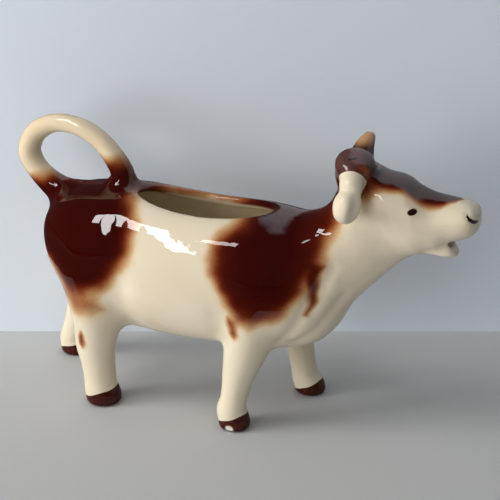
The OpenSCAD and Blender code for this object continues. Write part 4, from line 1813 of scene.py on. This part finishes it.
@dataclass
class Studio:
    """Floor, backdrop card and camera, in metres, with the softboxes and the room."""

    eye: Point = (0.151869, -0.383530, 0.220603)
    aim: Point = (0.005942, 0.0, 0.063083)
    angle: float = 0.41079
    clip: float = 0.01
    floor_half: float = 3.0
    floor_colour: Colour = (0.55, 0.56, 0.56)
    flag_near: float = -0.095
    flag_beside: float = -0.17
    flag_lift: float = 0.001
    flag_colour: Colour = (0.03, 0.03, 0.03)
    card_distance: float = 0.476
    card_half: float = 0.14
    card_height: float = 0.19
    card_colour: Colour = (0.77, 0.83, 0.91)
    matt: float = 0.8

    def camera(self) -> None:
        """Sets the camera as the photograph was taken."""
        data = bpy.data.cameras.new("camera")
        data.angle = self.angle
        data.clip_start = self.clip
        cam = bpy.data.objects.new("camera", data)
        cam.location = self.eye
        cam.rotation_euler = (Vector(self.aim) - Vector(self.eye)).to_track_quat("-Z", "Y").to_euler()
        bpy.context.scene.collection.objects.link(cam)
        bpy.context.scene.camera = cam

    def plane(self, name: str, corners: Table, colour: Colour) -> bpy.types.Object:
        """Adds a plain sheet to the stage.

        Args:
            name: Its name.
            corners: Four corners in metres.
            colour: Its colour.

        Returns:
            The sheet.
        """
        mesh = bpy.data.meshes.new(name)
        mesh.from_pydata(corners, [], [(0, 1, 2, 3)])
        mat = bpy.data.materials.new(name)
        mat.use_nodes = True
        shader = mat.node_tree.nodes["Principled BSDF"]
        shader.inputs["Base Color"].default_value = (*colour, 1.0)
        shader.inputs["Roughness"].default_value = self.matt
        mesh.materials.append(mat)
        sheet = bpy.data.objects.new(name, mesh)
        bpy.context.scene.collection.objects.link(sheet)
        return sheet

    def flat(self, name: str, low: tuple[float, float], high: tuple[float, float], lift: float,
             colour: Colour) -> bpy.types.Object:
        """Lays a sheet flat between two corners.

        Args:
            name: Its name.
            low: x and y of one corner in metres.
            high: x and y of the opposite corner.
            lift: Its height.
            colour: Its colour.

        Returns:
            The sheet.
        """
        (xa, ya), (xb, yb) = low, high
        return self.plane(name, ((xa, ya, lift), (xb, ya, lift), (xb, yb, lift), (xa, yb, lift)), colour)

    def floor(self) -> None:
        """Lays the floor, and dark flags on it that only the glaze mirrors."""
        s = self.floor_half
        self.flat("floor", (-s, -s), (s, s), 0.0, self.floor_colour)
        for name, low, high in (("dark_flag", (-s, -s), (s, self.flag_near)),
                                ("side_flag", (-s, self.flag_near), (self.flag_beside, s))):
            flag = self.flat(name, low, high, self.flag_lift, self.flag_colour)
            flag.visible_camera = flag.visible_diffuse = flag.visible_shadow = False

    def backdrop(self) -> None:
        """Stands the card behind the creamer, square to the camera."""
        look = Vector(self.aim) - Vector(self.eye)
        ahead = Vector((look.x, look.y, 0)).normalized()
        across = Vector((ahead.y, -ahead.x, 0)) * self.card_half
        foot = Vector((self.eye[0], self.eye[1], 0)) + ahead * self.card_distance
        top = foot + Vector((0, 0, self.card_height))
        corners = [tuple(c) for c in (foot - across, foot + across, top + across, top - across)]
        card = self.plane("backdrop", corners, self.card_colour)
        card.visible_glossy = card.visible_shadow = False
        self.one_sided("backdrop")

    def one_sided(self, name: str) -> None:
        """Lets other views look through the back of a sheet.

        Args:
            name: Its material.
        """
        tree = bpy.data.materials[name].node_tree
        back, clear = tree.nodes.new("ShaderNodeNewGeometry"), tree.nodes.new("ShaderNodeBsdfTransparent")
        mix = tree.nodes.new("ShaderNodeMixShader")
        tree.links.new(back.outputs["Backfacing"], mix.inputs["Fac"])
        tree.links.new(tree.nodes["Principled BSDF"].outputs["BSDF"], mix.inputs[1])
        tree.links.new(clear.outputs["BSDF"], mix.inputs[2])
        tree.links.new(mix.outputs["Shader"], tree.nodes["Material Output"].inputs["Surface"])

    def build(self) -> None:
        """Puts everything up."""
        self.camera()
        self.floor()
        self.backdrop()
        for softbox in SOFTBOXES:
            softbox.hang()
        Room().build()


def main() -> None:
    """Builds the creamer and its studio."""
    logging.basicConfig(level=logging.INFO, format="%(message)s")
    bpy.context.scene.view_settings.view_transform = "Standard"
    glazes = (Glaze("body_glaze"), HeadGlaze("head_glaze"), Glaze("cream_glaze"), Glaze("horn_glaze"),
              HoofGlaze("hoof_glaze"), Glaze("ear_glaze", coat_roughness=0.3), WornSheenGlaze("worn_glaze"))
    finishes = {glaze.name: glaze.material() for glaze in glazes}
    creamer = Creamer()
    skin = creamer.skin()
    for piece in creamer.pieces(skin, finishes):
        LOG.info("%s is in place", piece.name)
    Studio().build()


if __name__ == "__main__":
    main()
